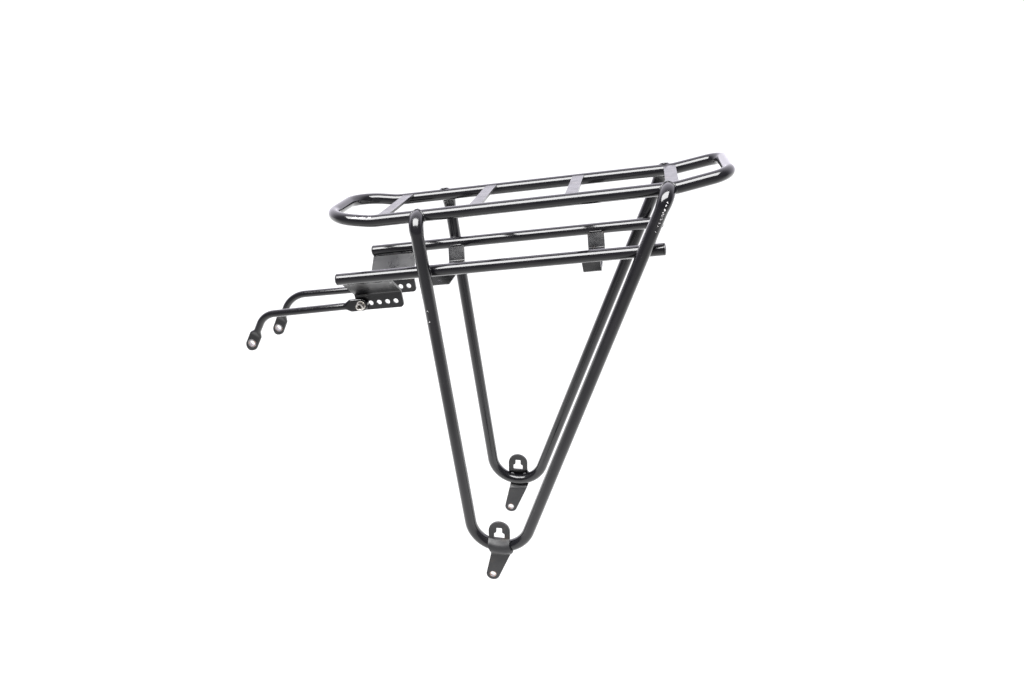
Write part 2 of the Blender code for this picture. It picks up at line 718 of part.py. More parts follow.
def make_stay(side):
    points = stay_line(side)
    length = sum((b - a).length for a, b in zip(points, points[1:]))
    pivot = Vector((PIVOT_X, side * STAY_Y, HOLE_HEIGHT))
    shape = bmesh.new()
    rings = []
    for distance in stay_stations(side, length, points):
        centre, direction = sample_line(points, distance)
        to_end = min(distance, length - distance)
        inside = 1 - min(to_end, STAY_END_RADIUS) / STAY_END_RADIUS
        narrow = sqrt(1 - inside * inside)
        up = Vector((0, 1, 0)).cross(direction)
        ring = []
        flat = max(flatness(distance, STAY_PIVOT_FLAT), flatness(length - distance, STAY_TIP_FLAT))
        for height, depth in stay_section(flat, narrow):
            place = centre + up * height
            ring.append(shape.verts.new((place.x - pivot.x, depth, place.z - pivot.z)))
        rings.append(ring)
    for first, second in zip(rings, rings[1:]):
        for k in range(STAY_SIDES):
            after = (k + 1) % STAY_SIDES
            shape.faces.new((first[k], first[after], second[after], second[k]))
    shape.faces.new(rings[0])
    shape.faces.new(rings[-1])
    bmesh.ops.recalc_face_normals(shape, faces=shape.faces)
    name = SIDE_NAMES[side] + "_stay"
    mesh = bpy.data.meshes.new(name)
    shape.to_mesh(mesh)
    shape.free()
    stay = new_object(name, mesh)
    stay.location = pivot
    as_part(stay, "gloss_paint")
    tip, direction = sample_line(points, length - STAY_TIP_LENGTH)
    tip.y = pivot.y
    depth = 4 * STAY_RADIUS
    cut(stay,
        rod_cutter(name + "_pivot_hole", pivot, BOLT_HOLE_RADIUS, depth),
        rod_cutter(name + "_tip_hole", tip, STAY_TIP_HOLE_RADIUS, depth))


# ---------------------------------------------------------------- pivot fasteners

def along_y(obj, side, y):
    """Set a turned piece on the pivot axis, its local +Z pointing outboard."""
    obj.location = (PIVOT_X, side * y, HOLE_HEIGHT)
    obj.rotation_euler = (-side * pi / 2, 0, 0)
    return obj


def make_pivot_bolt(side):
    """Socket-head screw; its local zero is under the head."""
    name = SIDE_NAMES[side] + "_pivot_bolt"
    tail = HEAD_Y - (NUT_OUTER_Y - NUT_THICKNESS - BOLT_TAIL)
    edge = 0.5 * MM
    profile = [(0, BOLT_HEAD_HEIGHT), (BOLT_HEAD_RADIUS - edge, BOLT_HEAD_HEIGHT),
               (BOLT_HEAD_RADIUS, BOLT_HEAD_HEIGHT - edge), (BOLT_HEAD_RADIUS, 0),
               (BOLT_RADIUS, 0), (BOLT_RADIUS, edge - tail), (BOLT_RADIUS - edge, -tail), (0, -tail)]
    bolt = along_y(turned(name, profile, 20), side, HEAD_Y)
    as_part(bolt, "stainless")
    shape = bmesh.new()
    bmesh.ops.create_cone(shape, cap_ends=True, segments=6, radius1=SOCKET_RADIUS,
                          radius2=SOCKET_RADIUS, depth=2 * SOCKET_DEPTH)
    mesh = bpy.data.meshes.new(name + "_socket")
    shape.to_mesh(mesh)
    shape.free()
    socket = along_y(new_object(name + "_socket", mesh), side, HEAD_Y + BOLT_HEAD_HEIGHT)
    cut(bolt, as_cutter(socket))


def make_pivot_washer(side):
    profile = [(WASHER_RADIUS, WASHER_THICKNESS), (WASHER_RADIUS, 0),
               (BOLT_HOLE_RADIUS, 0), (BOLT_HOLE_RADIUS, WASHER_THICKNESS)]
    washer = turned(SIDE_NAMES[side] + "_pivot_washer", profile, 20, closed_profile=True)
    as_part(along_y(washer, side, WASHER_Y), "stainless")


def make_pivot_nut(side):
    outline = circle((PIVOT_X, HOLE_HEIGHT), NUT_RADIUS, 6)
    hole = circle((PIVOT_X, HOLE_HEIGHT), BOLT_HOLE_RADIUS, 16)
    nut = flat_plate(SIDE_NAMES[side] + "_pivot_nut", [outline, hole], NUT_THICKNESS,
                     side_view(side * (NUT_OUTER_Y - NUT_THICKNESS / 2)))
    as_part(nut, "stainless")


# ---------------------------------------------------------------- assembly

def build():
    make_deck_loop()
    deck_cutter = deck_bore()
    make_deck_strips(deck_cutter)
    rail_cutters = {side: rail_bore(side) for side in (LEFT, RIGHT)}
    for side in (LEFT, RIGHT):
        make_leg(side, deck_cutter)
        make_rail(side)
        make_rail_plug(side, "front")
        make_rail_plug(side, "rear")
        make_stay_bracket(side, rail_cutters[side])
        make_foot_plate(side)
        make_stay(side)
        make_pivot_bolt(side)
        make_pivot_washer(side)
        make_pivot_nut(side)
    front_strap = make_cross_strap("front_cross_strap", FRONT_STRAP_X)
    add_gusset(front_strap)
    rear_strap = make_cross_strap("rear_cross_strap", REAR_STRAP_X)
    for strap in (front_strap, rear_strap):
        cut(strap, *rail_cutters.values())


clear_scene()
PARTS = new_collection("bicycle_rear_carrier")
CUTTERS = new_collection("cutters")
build()
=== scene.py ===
"""The looks of a bicycle's rear carrier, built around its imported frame.

Lengths are metres in the frame's own axes: +X to the bicycle's rear, +Y to its right
side and +Z up. The left side is -Y.
"""

import json
from contextlib import contextmanager
from math import asin, atan2, ceil, cos, hypot, pi, radians, sin, sqrt, tan

import bmesh
import bpy
from mathutils import Matrix, Quaternion, Vector, noise


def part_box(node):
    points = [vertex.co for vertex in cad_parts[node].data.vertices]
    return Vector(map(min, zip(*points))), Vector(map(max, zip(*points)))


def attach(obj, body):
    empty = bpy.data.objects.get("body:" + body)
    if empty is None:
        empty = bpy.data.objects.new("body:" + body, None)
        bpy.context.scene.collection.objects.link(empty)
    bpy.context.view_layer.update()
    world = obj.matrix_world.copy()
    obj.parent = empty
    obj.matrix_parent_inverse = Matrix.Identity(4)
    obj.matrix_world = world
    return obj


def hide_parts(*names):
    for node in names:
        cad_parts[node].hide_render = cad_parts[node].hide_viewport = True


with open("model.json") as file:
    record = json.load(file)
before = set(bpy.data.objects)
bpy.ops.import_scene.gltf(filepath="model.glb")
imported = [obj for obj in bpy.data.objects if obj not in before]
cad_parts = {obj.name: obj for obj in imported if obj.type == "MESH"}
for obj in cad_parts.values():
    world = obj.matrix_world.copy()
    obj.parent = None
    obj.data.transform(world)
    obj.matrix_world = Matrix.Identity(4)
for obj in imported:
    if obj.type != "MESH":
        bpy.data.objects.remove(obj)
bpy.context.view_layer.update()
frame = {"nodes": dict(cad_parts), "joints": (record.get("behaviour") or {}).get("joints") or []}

MM = 0.001
LEFT = -1
RIGHT = 1
SIDES = {"left": LEFT, "right": RIGHT}
ARC_STEP = radians(4)

# Tubes
RAIL_BOX = {side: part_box(side + "_rail") for side in SIDES}
RAIL_LO, RAIL_HI = RAIL_BOX["right"]
TUBE_RADIUS = (RAIL_HI.z - RAIL_LO.z) / 2
TUBE_SIDES = 40
RAIL_Y = (RAIL_LO.y + RAIL_HI.y) / 2
RAIL_Z = (RAIL_LO.z + RAIL_HI.z) / 2

# Deck loop, on the tube's centre line
DECK_LO, DECK_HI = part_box("deck_loop")
STRIP_NAMES = sorted(name for name in frame["nodes"] if name.startswith("deck_strip"))
STRIP_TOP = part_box("deck_strip_1")[1].z
DECK_TO_STRIP_TOP = 5.0 * MM        # from the tube's centre line up
DECK_Z = STRIP_TOP - DECK_TO_STRIP_TOP
FRONT_TIP_X = DECK_LO.x + TUBE_RADIUS
REAR_TIP_X = DECK_HI.x - TUBE_RADIUS
FRONT_BEND_X = -63.8 * MM
REAR_BEND_X = 233.9 * MM
FRONT_HALF_WIDTH = 48.0 * MM
REAR_HALF_WIDTH = 46.0 * MM
REAR_TIP_HALF_WIDTH = 43.5 * MM
FRONT_UPTURN = radians(9.8)
REAR_UPTURN = radians(8.7)
FRONT_CORNER_RADIUS = 31.0 * MM
REAR_CORNER_RADIUS = 17.0 * MM
UPTURN_RADIUS = 60.0 * MM
DECK_CHIPS = (((-77.5, -52.7, 426.2), (6, 3, 1.2)), ((-70.0, -52.5, 425.2), (7, 3, 1.3)),
              ((-62.5, -52.1, 424.3), (4, 3, 1.1)), ((266.0, 49.0, 429.0), (5, 3, 2.0)))   # in mm

# Legs
LEG_RADIUS = 6.5 * MM
LEG_TOP_Y = 63.2 * MM
LEG_SPLAY = 0.0187                  # outward run for each unit of drop
FRONT_LEG_TOP_X = {LEFT: -13.4 * MM, RIGHT: -10.4 * MM}
FRONT_LEG_SLOPE = {LEFT: 0.001, RIGHT: 0.011}   # forward run for each unit of drop
REAR_LEG_TOP_X = {LEFT: 226.6 * MM, RIGHT: 225.8 * MM}
REAR_LEG_SLOPE = 0.4898
LEG_TOP_RADIUS = 14.0 * MM
LEG_U_RADIUS = {LEFT: 33.8 * MM, RIGHT: 32.8 * MM}
LEG_PRESS = 0.14                    # a leg is pressed this much wider at its top bends
LEG_PRESS_LOW = 402.0 * MM
LEG_PRESS_HIGH = 412.0 * MM
LEG_RUBS = ((412.5, 2.2), (409.5, 2.6), (406.5, 2.9), (403.5, 3.0), (400.5, 2.9),
            (397.5, 2.6), (394.5, 2.3), (391.5, 2.0), (387.0, 2.0))   # height and size, in mm
RIGHT_RUB_SHIFT = -55               # the right rear leg is rubbed this much lower, in mm
LEG_DOTS = ((329.0, 0.9), (317.5, 1.1))             # chips on a front leg, in the same way

# Sheet pieces
SHEET = 2.5 * MM
EDGE = 0.45 * MM                    # rounding of a cut edge
FLANGE_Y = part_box("right_stay_bracket")[0].y + SHEET / 2
FLANGE_TOP = 338.8 * MM
BRACKET_BEND_RADIUS = 4.0 * MM
BRACKET_CORNER = 4.0 * MM
BRACKET_TOP = (50.5 * MM, 359.9 * MM)
HOLE_COUNT = 5
HOLE_PITCH = 9.4 * MM
HOLE_RADIUS = 2.75 * MM
STRAP_LO, STRAP_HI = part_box("rear_cross_strap")
STRAP_Z = STRAP_LO.z + SHEET / 2
STRAP_FLAT_Y = 38.5 * MM
STRAP_TOP = (46.6 * MM, 361.6 * MM)
STRAP_WIDTH = STRAP_HI.x - STRAP_LO.x
STRAP_BEND_RADIUS = 3.5 * MM

# Foot plates
EYELET_Y = 66.3 * MM
EYELET_RADIUS = 3.3 * MM
FOOT_RADIUS = -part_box("right_foot_plate")[0].z
FOOT_FRONT_LEAN = radians(19.5)
FOOT_REAR_LEAN = radians(30.0)
TAB_Y = 71.0 * MM
TAB_LEAN = radians(7.8)
TAB_HALF_WIDTH = 12.0 * MM
TAB_CENTRE = (17.5 * MM, 62.6 * MM)
FOOT_SHOULDER_Z = 37.0 * MM         # where the lower tab's straight edges end
TAB_WAIST_Z = 48.0 * MM             # where the upper tab's straight edges start
LOWER_CREASE_Z = 27.5 * MM
UPPER_CREASE_Z = 52.3 * MM

# Stays and their pivots
PIVOTS = {joint["child"]: Vector(joint["pos_m"]) for joint in frame["joints"]}
PIVOT = PIVOTS["right_stay_arm"]
STAY_RADIUS = 4.0 * MM
STAY_SIDES = 40
STAY_SLOPE = {"left": radians(1.0), "right": 0.0}
STAY_DROP_ANGLE = {"left": radians(54.5), "right": radians(57.0)}
STAY_BEND_RADIUS = {"left": 24.0 * MM, "right": 34.0 * MM}
STAY_CORNER_X = {"left": -216.4 * MM, "right": -209.5 * MM}
STAY_TIP_HOLE_RUN = {"left": 39.1 * MM, "right": 45.7 * MM}
STAY_TIP_LENGTH = 9.5 * MM
STAY_TIP_HOLE_RADIUS = 3.2 * MM
STAY_END_RADIUS = 7.0 * MM
STAY_FLAT = 4.0 * MM                # thickness of a flattened end
STAY_PIVOT_FLAT = 19.0 * MM
STAY_TIP_FLAT = 20.0 * MM
STAY_TAPER = 7.0 * MM
BOLT_RADIUS = 2.5 * MM


# ---------------------------------------------------------------- paths

def fillet(before, corner, after, radius, steps):
    """Points of an arc that rounds one corner of a path."""
    back = (before - corner).normalized()
    ahead = (after - corner).normalized()
    turn = pi - back.angle(ahead)
    start = corner + back * radius * tan(turn / 2)
    middle = corner + (back + ahead).normalized() * radius / cos(turn / 2)
    axis = ahead.cross(back).normalized()
    swings = [Quaternion(axis, turn * step / steps) for step in range(steps + 1)]
    return [middle + swing @ (start - middle) for swing in swings]


def rounded_path(corners, radii, closed=False):
    corners = [Vector(corner) for corner in corners]
    count = len(corners)
    points = []
    for index, corner in enumerate(corners):
        at_end = not closed and index in (0, count - 1)
        if at_end or radii[index] == 0:
            points.append(corner)
            continue
        before = corners[index - 1]
        after = corners[(index + 1) % count]
        turn = pi - (before - corner).angle(after - corner)
        steps = max(3, ceil(turn / ARC_STEP))
        points += fillet(before, corner, after, radii[index], steps)
    return points


def resample(points, spacing, closed=False):
    """The same path with evenly spaced points."""
    if closed:
        points = points + [points[0]]
    runs = [(b - a).length for a, b in zip(points, points[1:])]
    total = sum(runs)
    count = max(2, round(total / spacing))
    made = []
    index = 0
    passed = 0.0
    for step in range(count if closed else count + 1):
        target = total * step / count
        while index < len(runs) - 1 and passed + runs[index] < target:
            passed += runs[index]
            index += 1
        share = (target - passed) / runs[index]
        made.append(points[index].lerp(points[index + 1], min(share, 1.0)))
    return made


def deck_path():
    front_z = DECK_Z + (FRONT_BEND_X - FRONT_TIP_X) * tan(FRONT_UPTURN)
    rear_z = DECK_Z + (REAR_TIP_X - REAR_BEND_X) * tan(REAR_UPTURN)
    right_side = [
        (FRONT_TIP_X, FRONT_HALF_WIDTH, front_z),
        (FRONT_BEND_X, FRONT_HALF_WIDTH, DECK_Z),
        (REAR_BEND_X, REAR_HALF_WIDTH, DECK_Z),
        (REAR_TIP_X, REAR_TIP_HALF_WIDTH, rear_z),
    ]
    left_side = [(x, -y, z) for x, y, z in reversed(right_side)]
    radii = [FRONT_CORNER_RADIUS, UPTURN_RADIUS, UPTURN_RADIUS, REAR_CORNER_RADIUS]
    return rounded_path(right_side + left_side, radii + radii[::-1], closed=True)


def deck_half_width(x):
    share = (x - FRONT_BEND_X) / (REAR_BEND_X - FRONT_BEND_X)
    return FRONT_HALF_WIDTH + (REAR_HALF_WIDTH - FRONT_HALF_WIDTH) * share


def leg_y(z):
    return LEG_TOP_Y + LEG_SPLAY * (DECK_Z - z)


def leg_path(side):
    front_x = FRONT_LEG_TOP_X[side]
    rear_x = REAR_LEG_TOP_X[side]
    apex_z = DECK_Z - (rear_x - front_x) / (REAR_LEG_SLOPE - FRONT_LEG_SLOPE[side])
    corners = [
        (front_x, side * deck_half_width(front_x), DECK_Z),
        (front_x, side * LEG_TOP_Y, DECK_Z),
        (rear_leg_x(side, apex_z), side * leg_y(apex_z), apex_z),
        (rear_x, side * LEG_TOP_Y, DECK_Z),
        (rear_x, side * deck_half_width(rear_x), DECK_Z),
    ]
    return rounded_path(corners, [0, LEG_TOP_RADIUS, LEG_U_RADIUS[side], LEG_TOP_RADIUS, 0])


def front_leg_x(side, z):
    return FRONT_LEG_TOP_X[side] - (DECK_Z - z) * FRONT_LEG_SLOPE[side]


def rear_leg_x(side, z):
    return REAR_LEG_TOP_X[side] - (DECK_Z - z) * REAR_LEG_SLOPE


def leg_growth(point):
    """Width of a leg along X, against its diameter, at a point of its centre line."""
    share = (point.z - LEG_PRESS_LOW) / (LEG_PRESS_HIGH - LEG_PRESS_LOW)
    share = min(max(share, 0.0), 1.0)
    return 1 + LEG_PRESS * share * share * (3 - 2 * share)


# ---------------------------------------------------------------- mesh building

def path_axes(points, closed):
    """Direction, side and upright at each point of a path, carried along without twist."""
    count = len(points)
    directions = []
    for index in range(count):
        before = points[index - 1] if closed or index > 0 else points[0]
        after = points[(index + 1) % count] if closed or index < count - 1 else points[-1]
        directions.append((after - before).normalized())
    side = directions[0].orthogonal().normalized()
    sides = [side]
    for before, direction in zip(directions, directions[1:]):
        side = before.rotation_difference(direction) @ side
        sides.append((side - direction * side.dot(direction)).normalized())
    if closed:
        last = directions[-1].rotation_difference(directions[0]) @ sides[-1]
        slip = atan2(directions[0].dot(last.cross(sides[0])), last.dot(sides[0]))
        sides = [Quaternion(direction, slip * index / count) @ side
                 for index, (direction, side) in enumerate(zip(directions, sides))]
    return [(d, s, d.cross(s)) for d, s in zip(directions, sides)]


@contextmanager
def editing(mesh):
    """A mesh's shape, open for edits that are written back at the end."""
    shape = bmesh.new()
    shape.from_mesh(mesh)
    yield shape
    shape.to_mesh(mesh)
    shape.free()


def skin(name, rings, closed=False):
    """A closed mesh through rings of equal length: round again, or capped at its ends."""
    mesh = bpy.data.meshes.new(name)
    with editing(mesh) as shape:
        rows = [[shape.verts.new(point) for point in ring] for ring in rings]
        pairs = list(zip(rows, rows[1:]))
        if closed:
            pairs.append((rows[-1], rows[0]))
        for first, second in pairs:
            count = len(first)
            for k in range(count):
                after = (k + 1) % count
                shape.faces.new((first[k], first[after], second[after], second[k]))
        if not closed:
            shape.faces.new(rows[0])
            shape.faces.new(rows[-1])
        bmesh.ops.recalc_face_normals(shape, faces=shape.faces)
    return new_object(name, mesh)


def new_object(name, data):
    obj = bpy.data.objects.new(name, data)
    bpy.context.scene.collection.objects.link(obj)
    return obj


def tube(name, points, radius, sides=TUBE_SIDES, closed=False, widen=None):
    """A round bar along a path. The radius is a number, or one for each point."""
    radii = radius if isinstance(radius, list) else [radius] * len(points)
    rings = []
    for point, size, (_, side, up) in zip(points, radii, path_axes(points, closed)):
        growth = widen(point) if widen else 1.0
        ring = []
        for k in range(sides):
            angle = 2 * pi * k / sides
            ring.append(point + wider((side * cos(angle) + up * sin(angle)) * size, growth))
        rings.append(ring)
    return skin(name, rings, closed)


def wider(offset, growth):
    return Vector((offset.x * growth, offset.y, offset.z))


def turned(name, profile, place, sides=64, closed=False):
    """Revolve (radius, height) pairs about local Z. A radius may be a function of the angle."""
    rings = []
    for radius, height in profile:
        ring = []
        for k in range(sides):
            angle = 2 * pi * k / sides
            size = radius(angle) if callable(radius) else radius
            ring.append(place @ Vector((size * cos(angle), size * sin(angle), height)))
        rings.append(ring)
    return skin(name, rings, closed)


def evaluated_mesh(obj):
    bpy.context.view_layer.update()
    graph = bpy.context.evaluated_depsgraph_get()
    return bpy.data.meshes.new_from_object(obj.evaluated_get(graph))


def bake_modifiers(obj):
    mesh = evaluated_mesh(obj)
    obj.modifiers.clear()
    obj.data = mesh


def boolean(target, operand, operation="DIFFERENCE"):
    modifier = target.modifiers.new("boolean", "BOOLEAN")
    modifier.operation = operation
    modifier.object = operand
    modifier.solver = "EXACT"
    bake_modifiers(target)
    bpy.data.objects.remove(operand)


def soften_edges(obj, width=EDGE):
    """Round the cut edges of a sheet piece, and keep its flat faces flat."""
    with editing(obj.data) as shape:
        bmesh.ops.remove_doubles(shape, verts=shape.verts, dist=0.002 * MM)
        bmesh.ops.dissolve_limit(shape, angle_limit=radians(0.5), verts=shape.verts,
                                 edges=shape.edges)
    bevel = obj.modifiers.new("edges", "BEVEL")
    bevel.width = width
    bevel.segments = 3
    bevel.limit_method = "ANGLE"
    bevel.angle_limit = radians(40)
    obj.data.shade_smooth()
    weighted = obj.modifiers.new("flat faces", "WEIGHTED_NORMAL")
    weighted.keep_sharp = True


def arc(centre, radius, start, end, steps):
    angles = [start + (end - start) * step / steps for step in range(steps + 1)]
    return [(centre[0] + radius * cos(a), centre[1] + radius * sin(a)) for a in angles]


def circle(centre, radius, sides=48):
    return arc(centre, radius, 0, 2 * pi * (sides - 1) / sides, sides - 1)


def place_by(origin, x_axis, y_axis):
    x_axis = Vector(x_axis).normalized()
    y_axis = Vector(y_axis).normalized()
    place = Matrix((x_axis, y_axis, x_axis.cross(y_axis))).transposed().to_4x4()
    place.translation = Vector(origin)
    return place


def side_view(y):
    """Outline axes for a plate that stands across the Y axis: drawn in X and Z."""
    return place_by((0, y, 0), (1, 0, 0), (0, 0, 1))


def end_view(x):
    """Outline axes for a profile that runs along the X axis: drawn in Y and Z."""
    return place_by((x, 0, 0), (0, 1, 0), (0, 0, 1))


def plate(name, outlines, thickness, place):
    """A plate cut to 2D outlines: the first is its edge, the others are holes."""
    curve = bpy.data.curves.new(name, "CURVE")
    curve.dimensions = "2D"
    curve.fill_mode = "BOTH"
    curve.extrude = thickness / 2
    for outline in outlines:
        spline = curve.splines.new("POLY")
        spline.points.add(len(outline) - 1)
        for target, (x, y) in zip(spline.points, outline):
            target.co = (x, y, 0.0, 1.0)
        spline.use_cyclic_u = True
    drawn = new_object(name + "_drawing", curve)
    mesh = evaluated_mesh(drawn)
    bpy.data.objects.remove(drawn)
    with editing(mesh) as shape:
        bmesh.ops.remove_doubles(shape, verts=shape.verts, dist=0.001 * MM)
        bmesh.ops.transform(shape, matrix=place, verts=shape.verts)
        bmesh.ops.recalc_face_normals(shape, faces=shape.faces)
    return new_object(name, mesh)


def sheet_profile(corners, radius):
    """Edge of a bent sheet whose middle line runs through the given corners."""
    radii = [0] + [radius] * (len(corners) - 2) + [0]
    middle = [(p.x, p.y) for p in rounded_path([(y, z, 0) for y, z in corners], radii)]
    left = []
    right = []
    for index, (x, y) in enumerate(middle):
        before = middle[max(index - 1, 0)]
        after = middle[min(index + 1, len(middle) - 1)]
        run = (after[0] - before[0], after[1] - before[1])
        half = SHEET / 2 / hypot(*run)
        left.append((x - run[1] * half, y + run[0] * half))
        right.append((x + run[1] * half, y - run[0] * half))
    return left + right[::-1]


# ---------------------------------------------------------------- materials

class Nodes:
    """A node tree that is built up node by node."""

    def __init__(self, tree):
        self.tree = tree

    def node(self, kind, inputs, **settings):
        made = self.tree.nodes.new("ShaderNode" + kind)
        for key, value in settings.items():
            setattr(made, key, value)
        for key, value in inputs.items():
            self.feed(made.inputs[key], value)
        return made

    def feed(self, socket, value):
        if isinstance(value, bpy.types.NodeSocket):
            self.tree.links.new(value, socket)
        else:
            socket.default_value = value


class Look(Nodes):
    """A procedural material: a shader with textures in the piece's own coordinates."""

    def __init__(self, name):
        self.material = bpy.data.materials.new(name)
        self.material.use_nodes = True
        super().__init__(self.material.node_tree)
        self.shader = self.tree.nodes["Principled BSDF"]
        self.place = self.node("TexCoord", {}).outputs["Object"]

    def math(self, operation, a, b=0.0, c=0.0):
        return self.node("Math", {0: a, 1: b, 2: c}, operation=operation).outputs[0]

    def vector(self, operation, a, b):
        return self.node("VectorMath", {0: a, 1: b}, operation=operation)

    def noise(self, scale, detail=3.0, stretch=(1, 1, 1)):
        place = self.vector("MULTIPLY", self.place, stretch).outputs[0]
        made = self.node("TexNoise", {"Vector": place, "Scale": scale, "Detail": detail})
        return made.outputs["Fac"]

    def ramp(self, value, low, high, to_low=0.0, to_high=1.0):
        made = self.node("MapRange", {
            "Value": value, "From Min": low, "From Max": high,
            "To Min": to_low, "To Max": to_high})
        return made.outputs["Result"]

    def mix(self, share, a, b):
        return self.node("Mix", {0: share, 6: a, 7: b}, data_type="RGBA").outputs[2]

    def blend(self, share, a, b):
        return self.node("Mix", {0: share, 2: a, 3: b}, data_type="FLOAT").outputs[0]

    def clouds(self, scale, detail, dark, light):
        """Two shades in soft patches."""
        return self.mix(self.ramp(self.noise(scale, detail), 0.3, 0.7), dark, light)

    def tint(self, color, mask, strength, shade):
        return self.mix(self.math("MULTIPLY", mask, strength), color, shade)

    def speckle(self, scale, size):
        """Small round specks, one for each random cell."""
        made = self.node("TexVoronoi", {"Vector": self.place, "Scale": scale})
        return self.ramp(made.outputs["Distance"], size, size * 0.6)

    def distance(self, centre, scale):
        """How far a point is from a centre, with each axis scaled."""
        offset = self.vector("SUBTRACT", self.place, tuple(centre)).outputs[0]
        scaled = self.vector("MULTIPLY", offset, scale).outputs[0]
        return self.node("VectorMath", {0: scaled}, operation="LENGTH").outputs["Value"]

    def patch(self, centre, radii):
        """1 in the middle of an ellipsoid, and 0 outside it."""
        return self.ramp(self.distance(centre, tuple(1 / r for r in radii)), 1.0, 0.0)

    def ring(self, centre, inner, outer):
        """1 up to a radius about an axis along Y, and 0 past another, with a ragged edge."""
        ragged = self.math("MULTIPLY_ADD", self.noise(420, 2), 1.0 * MM, -0.5 * MM)
        distance = self.math("ADD", self.distance(centre, (1, 0, 1)), ragged)
        return self.ramp(distance, outer, inner)

    def edges(self, radius):
        """1 along sharp edges, where paint wears first."""
        rounded = self.node("Bevel", {"Radius": radius}, samples=4)
        normal = self.node("NewGeometry", {}).outputs["Normal"]
        made = self.vector("DOT_PRODUCT", rounded.outputs[0], normal)
        return self.ramp(made.outputs["Value"], 0.985, 0.90)

    def bump(self, *layers):
        """Stack (height, depth) layers into the surface normal."""
        below = None
        for height, depth in layers:
            inputs = {"Height": height, "Distance": depth, "Strength": 1.0}
            if below is not None:
                inputs["Normal"] = below
            below = self.node("Bump", inputs).outputs[0]
        self.feed(self.shader.inputs["Normal"], below)

    def set(self, **values):
        names = {"color": "Base Color", "roughness": "Roughness", "metallic": "Metallic",
                 "specular": "Specular IOR Level"}
        for key, value in values.items():
            self.feed(self.shader.inputs[names[key]], value)


BARE = (0.27, 0.265, 0.275, 1)
RUST = (0.19, 0.095, 0.050, 1)
PRIMER = (0.50, 0.49, 0.49, 1)
GRIME = (0.10, 0.065, 0.035, 1)


def worn_paint(look, color, roughness, masks, rust):
    """Lay pale primer and bare metal over the paint, where their masks are 1."""
    bare, cover = masks
    rusty = look.ramp(look.noise(480, 4), 0.62 - 0.3 * rust, 0.74 - 0.3 * rust)
    color = look.mix(cover, color, PRIMER)
    color = look.mix(bare, color, look.mix(rusty, BARE, RUST))
    roughness = look.blend(cover, roughness, 0.55)
    roughness = look.blend(bare, roughness, look.ramp(look.noise(900), 0.3, 0.7, 0.28, 0.50))
    shine = look.math("MULTIPLY", bare, look.ramp(rusty, 0, 1, 1.0, 0.2))
    look.set(color=color, roughness=roughness, metallic=shine)


def wear_masks(look, chips, rings):
    """Masks for bare rings round holes and for ragged chips in the paint."""
    bare = 0.0
    for centre, inner, outer in rings:
        bare = look.math("MAXIMUM", bare, look.ring(centre, inner, outer))
    cover = 0.0
    grit = look.math("MULTIPLY", look.noise(900, 4), 1.3)
    for centre, radii, strength in chips:
        mark = look.math("ADD", look.math("MULTIPLY", look.patch(centre, radii), strength), grit)
        cover = look.math("MAXIMUM", cover, look.ramp(mark, 1.08, 1.16))
    return bare, cover


def gloss_paint(name, chips=(), rings=(), along=(1, 1, 1), polish=(0.08, 0.18)):
    """Black lacquer on a tube, with fine scratches, dust, and the marks given."""
    look = Look(name)
    color = look.clouds(45, 4, (0.0022, 0.0022, 0.0030, 1), (0.0052, 0.0048, 0.0058, 1))
    lines = look.ramp(look.noise(650, 2, along), 0.70, 0.77)
    faint = look.math("MULTIPLY", lines, look.ramp(look.noise(28, 2), 0.50, 0.68))
    color = look.tint(color, faint, 0.25, (0.10, 0.10, 0.11, 1))
    dusty = look.ramp(look.noise(24, 2), 0.52, 0.72)
    dust = look.math("MULTIPLY", look.speckle(420, 0.11), dusty)
    color = look.tint(color, dust, 0.35, (0.20, 0.19, 0.18, 1))
    smooth = look.ramp(look.noise(70, 4), 0.3, 0.75, *polish)
    roughness = look.math("MULTIPLY_ADD", faint, 0.20, smooth)
    masks = wear_masks(look, chips, rings)
    worn_paint(look, color, roughness, masks, 0.3)
    depth = look.math("MAXIMUM", *masks)
    look.bump((look.noise(300, 2), 0.003 * MM), (lines, -0.002 * MM), (depth, -0.05 * MM))
    return look.material


def satin_paint(name, chips=(), rings=(), polish=(0.14, 0.24), specular=0.5):
    """Powder coat on sheet metal: a fine grain, rubbed edges and a little grime."""
    look = Look(name)
    color = look.clouds(60, 5, (0.006, 0.006, 0.007, 1), (0.011, 0.011, 0.012, 1))
    color = look.tint(color, look.ramp(look.noise(90, 5), 0.58, 0.75), 0.15, GRIME)
    rubbed = look.math("MULTIPLY", look.edges(0.5 * MM), look.ramp(look.noise(160, 3), 0.45, 0.66))
    color = look.tint(color, rubbed, 0.35, (0.25, 0.24, 0.24, 1))
    lines = look.ramp(look.noise(500, 2, (0.05, 1, 1)), 0.68, 0.75)
    scratched = look.math("MULTIPLY", lines, look.ramp(look.noise(35, 2), 0.5, 0.65))
    color = look.tint(color, scratched, 0.3, (0.16, 0.16, 0.16, 1))
    roughness = look.ramp(look.noise(110, 4), 0.3, 0.7, *polish)
    masks = wear_masks(look, chips, rings)
    worn_paint(look, color, roughness, masks, 0.5)
    look.set(specular=specular)
    depth = look.math("MAXIMUM", *masks)
    look.bump((look.noise(1100, 2), 0.004 * MM), (look.noise(240, 2), 0.006 * MM),
              (depth, -0.06 * MM))
    return look.material


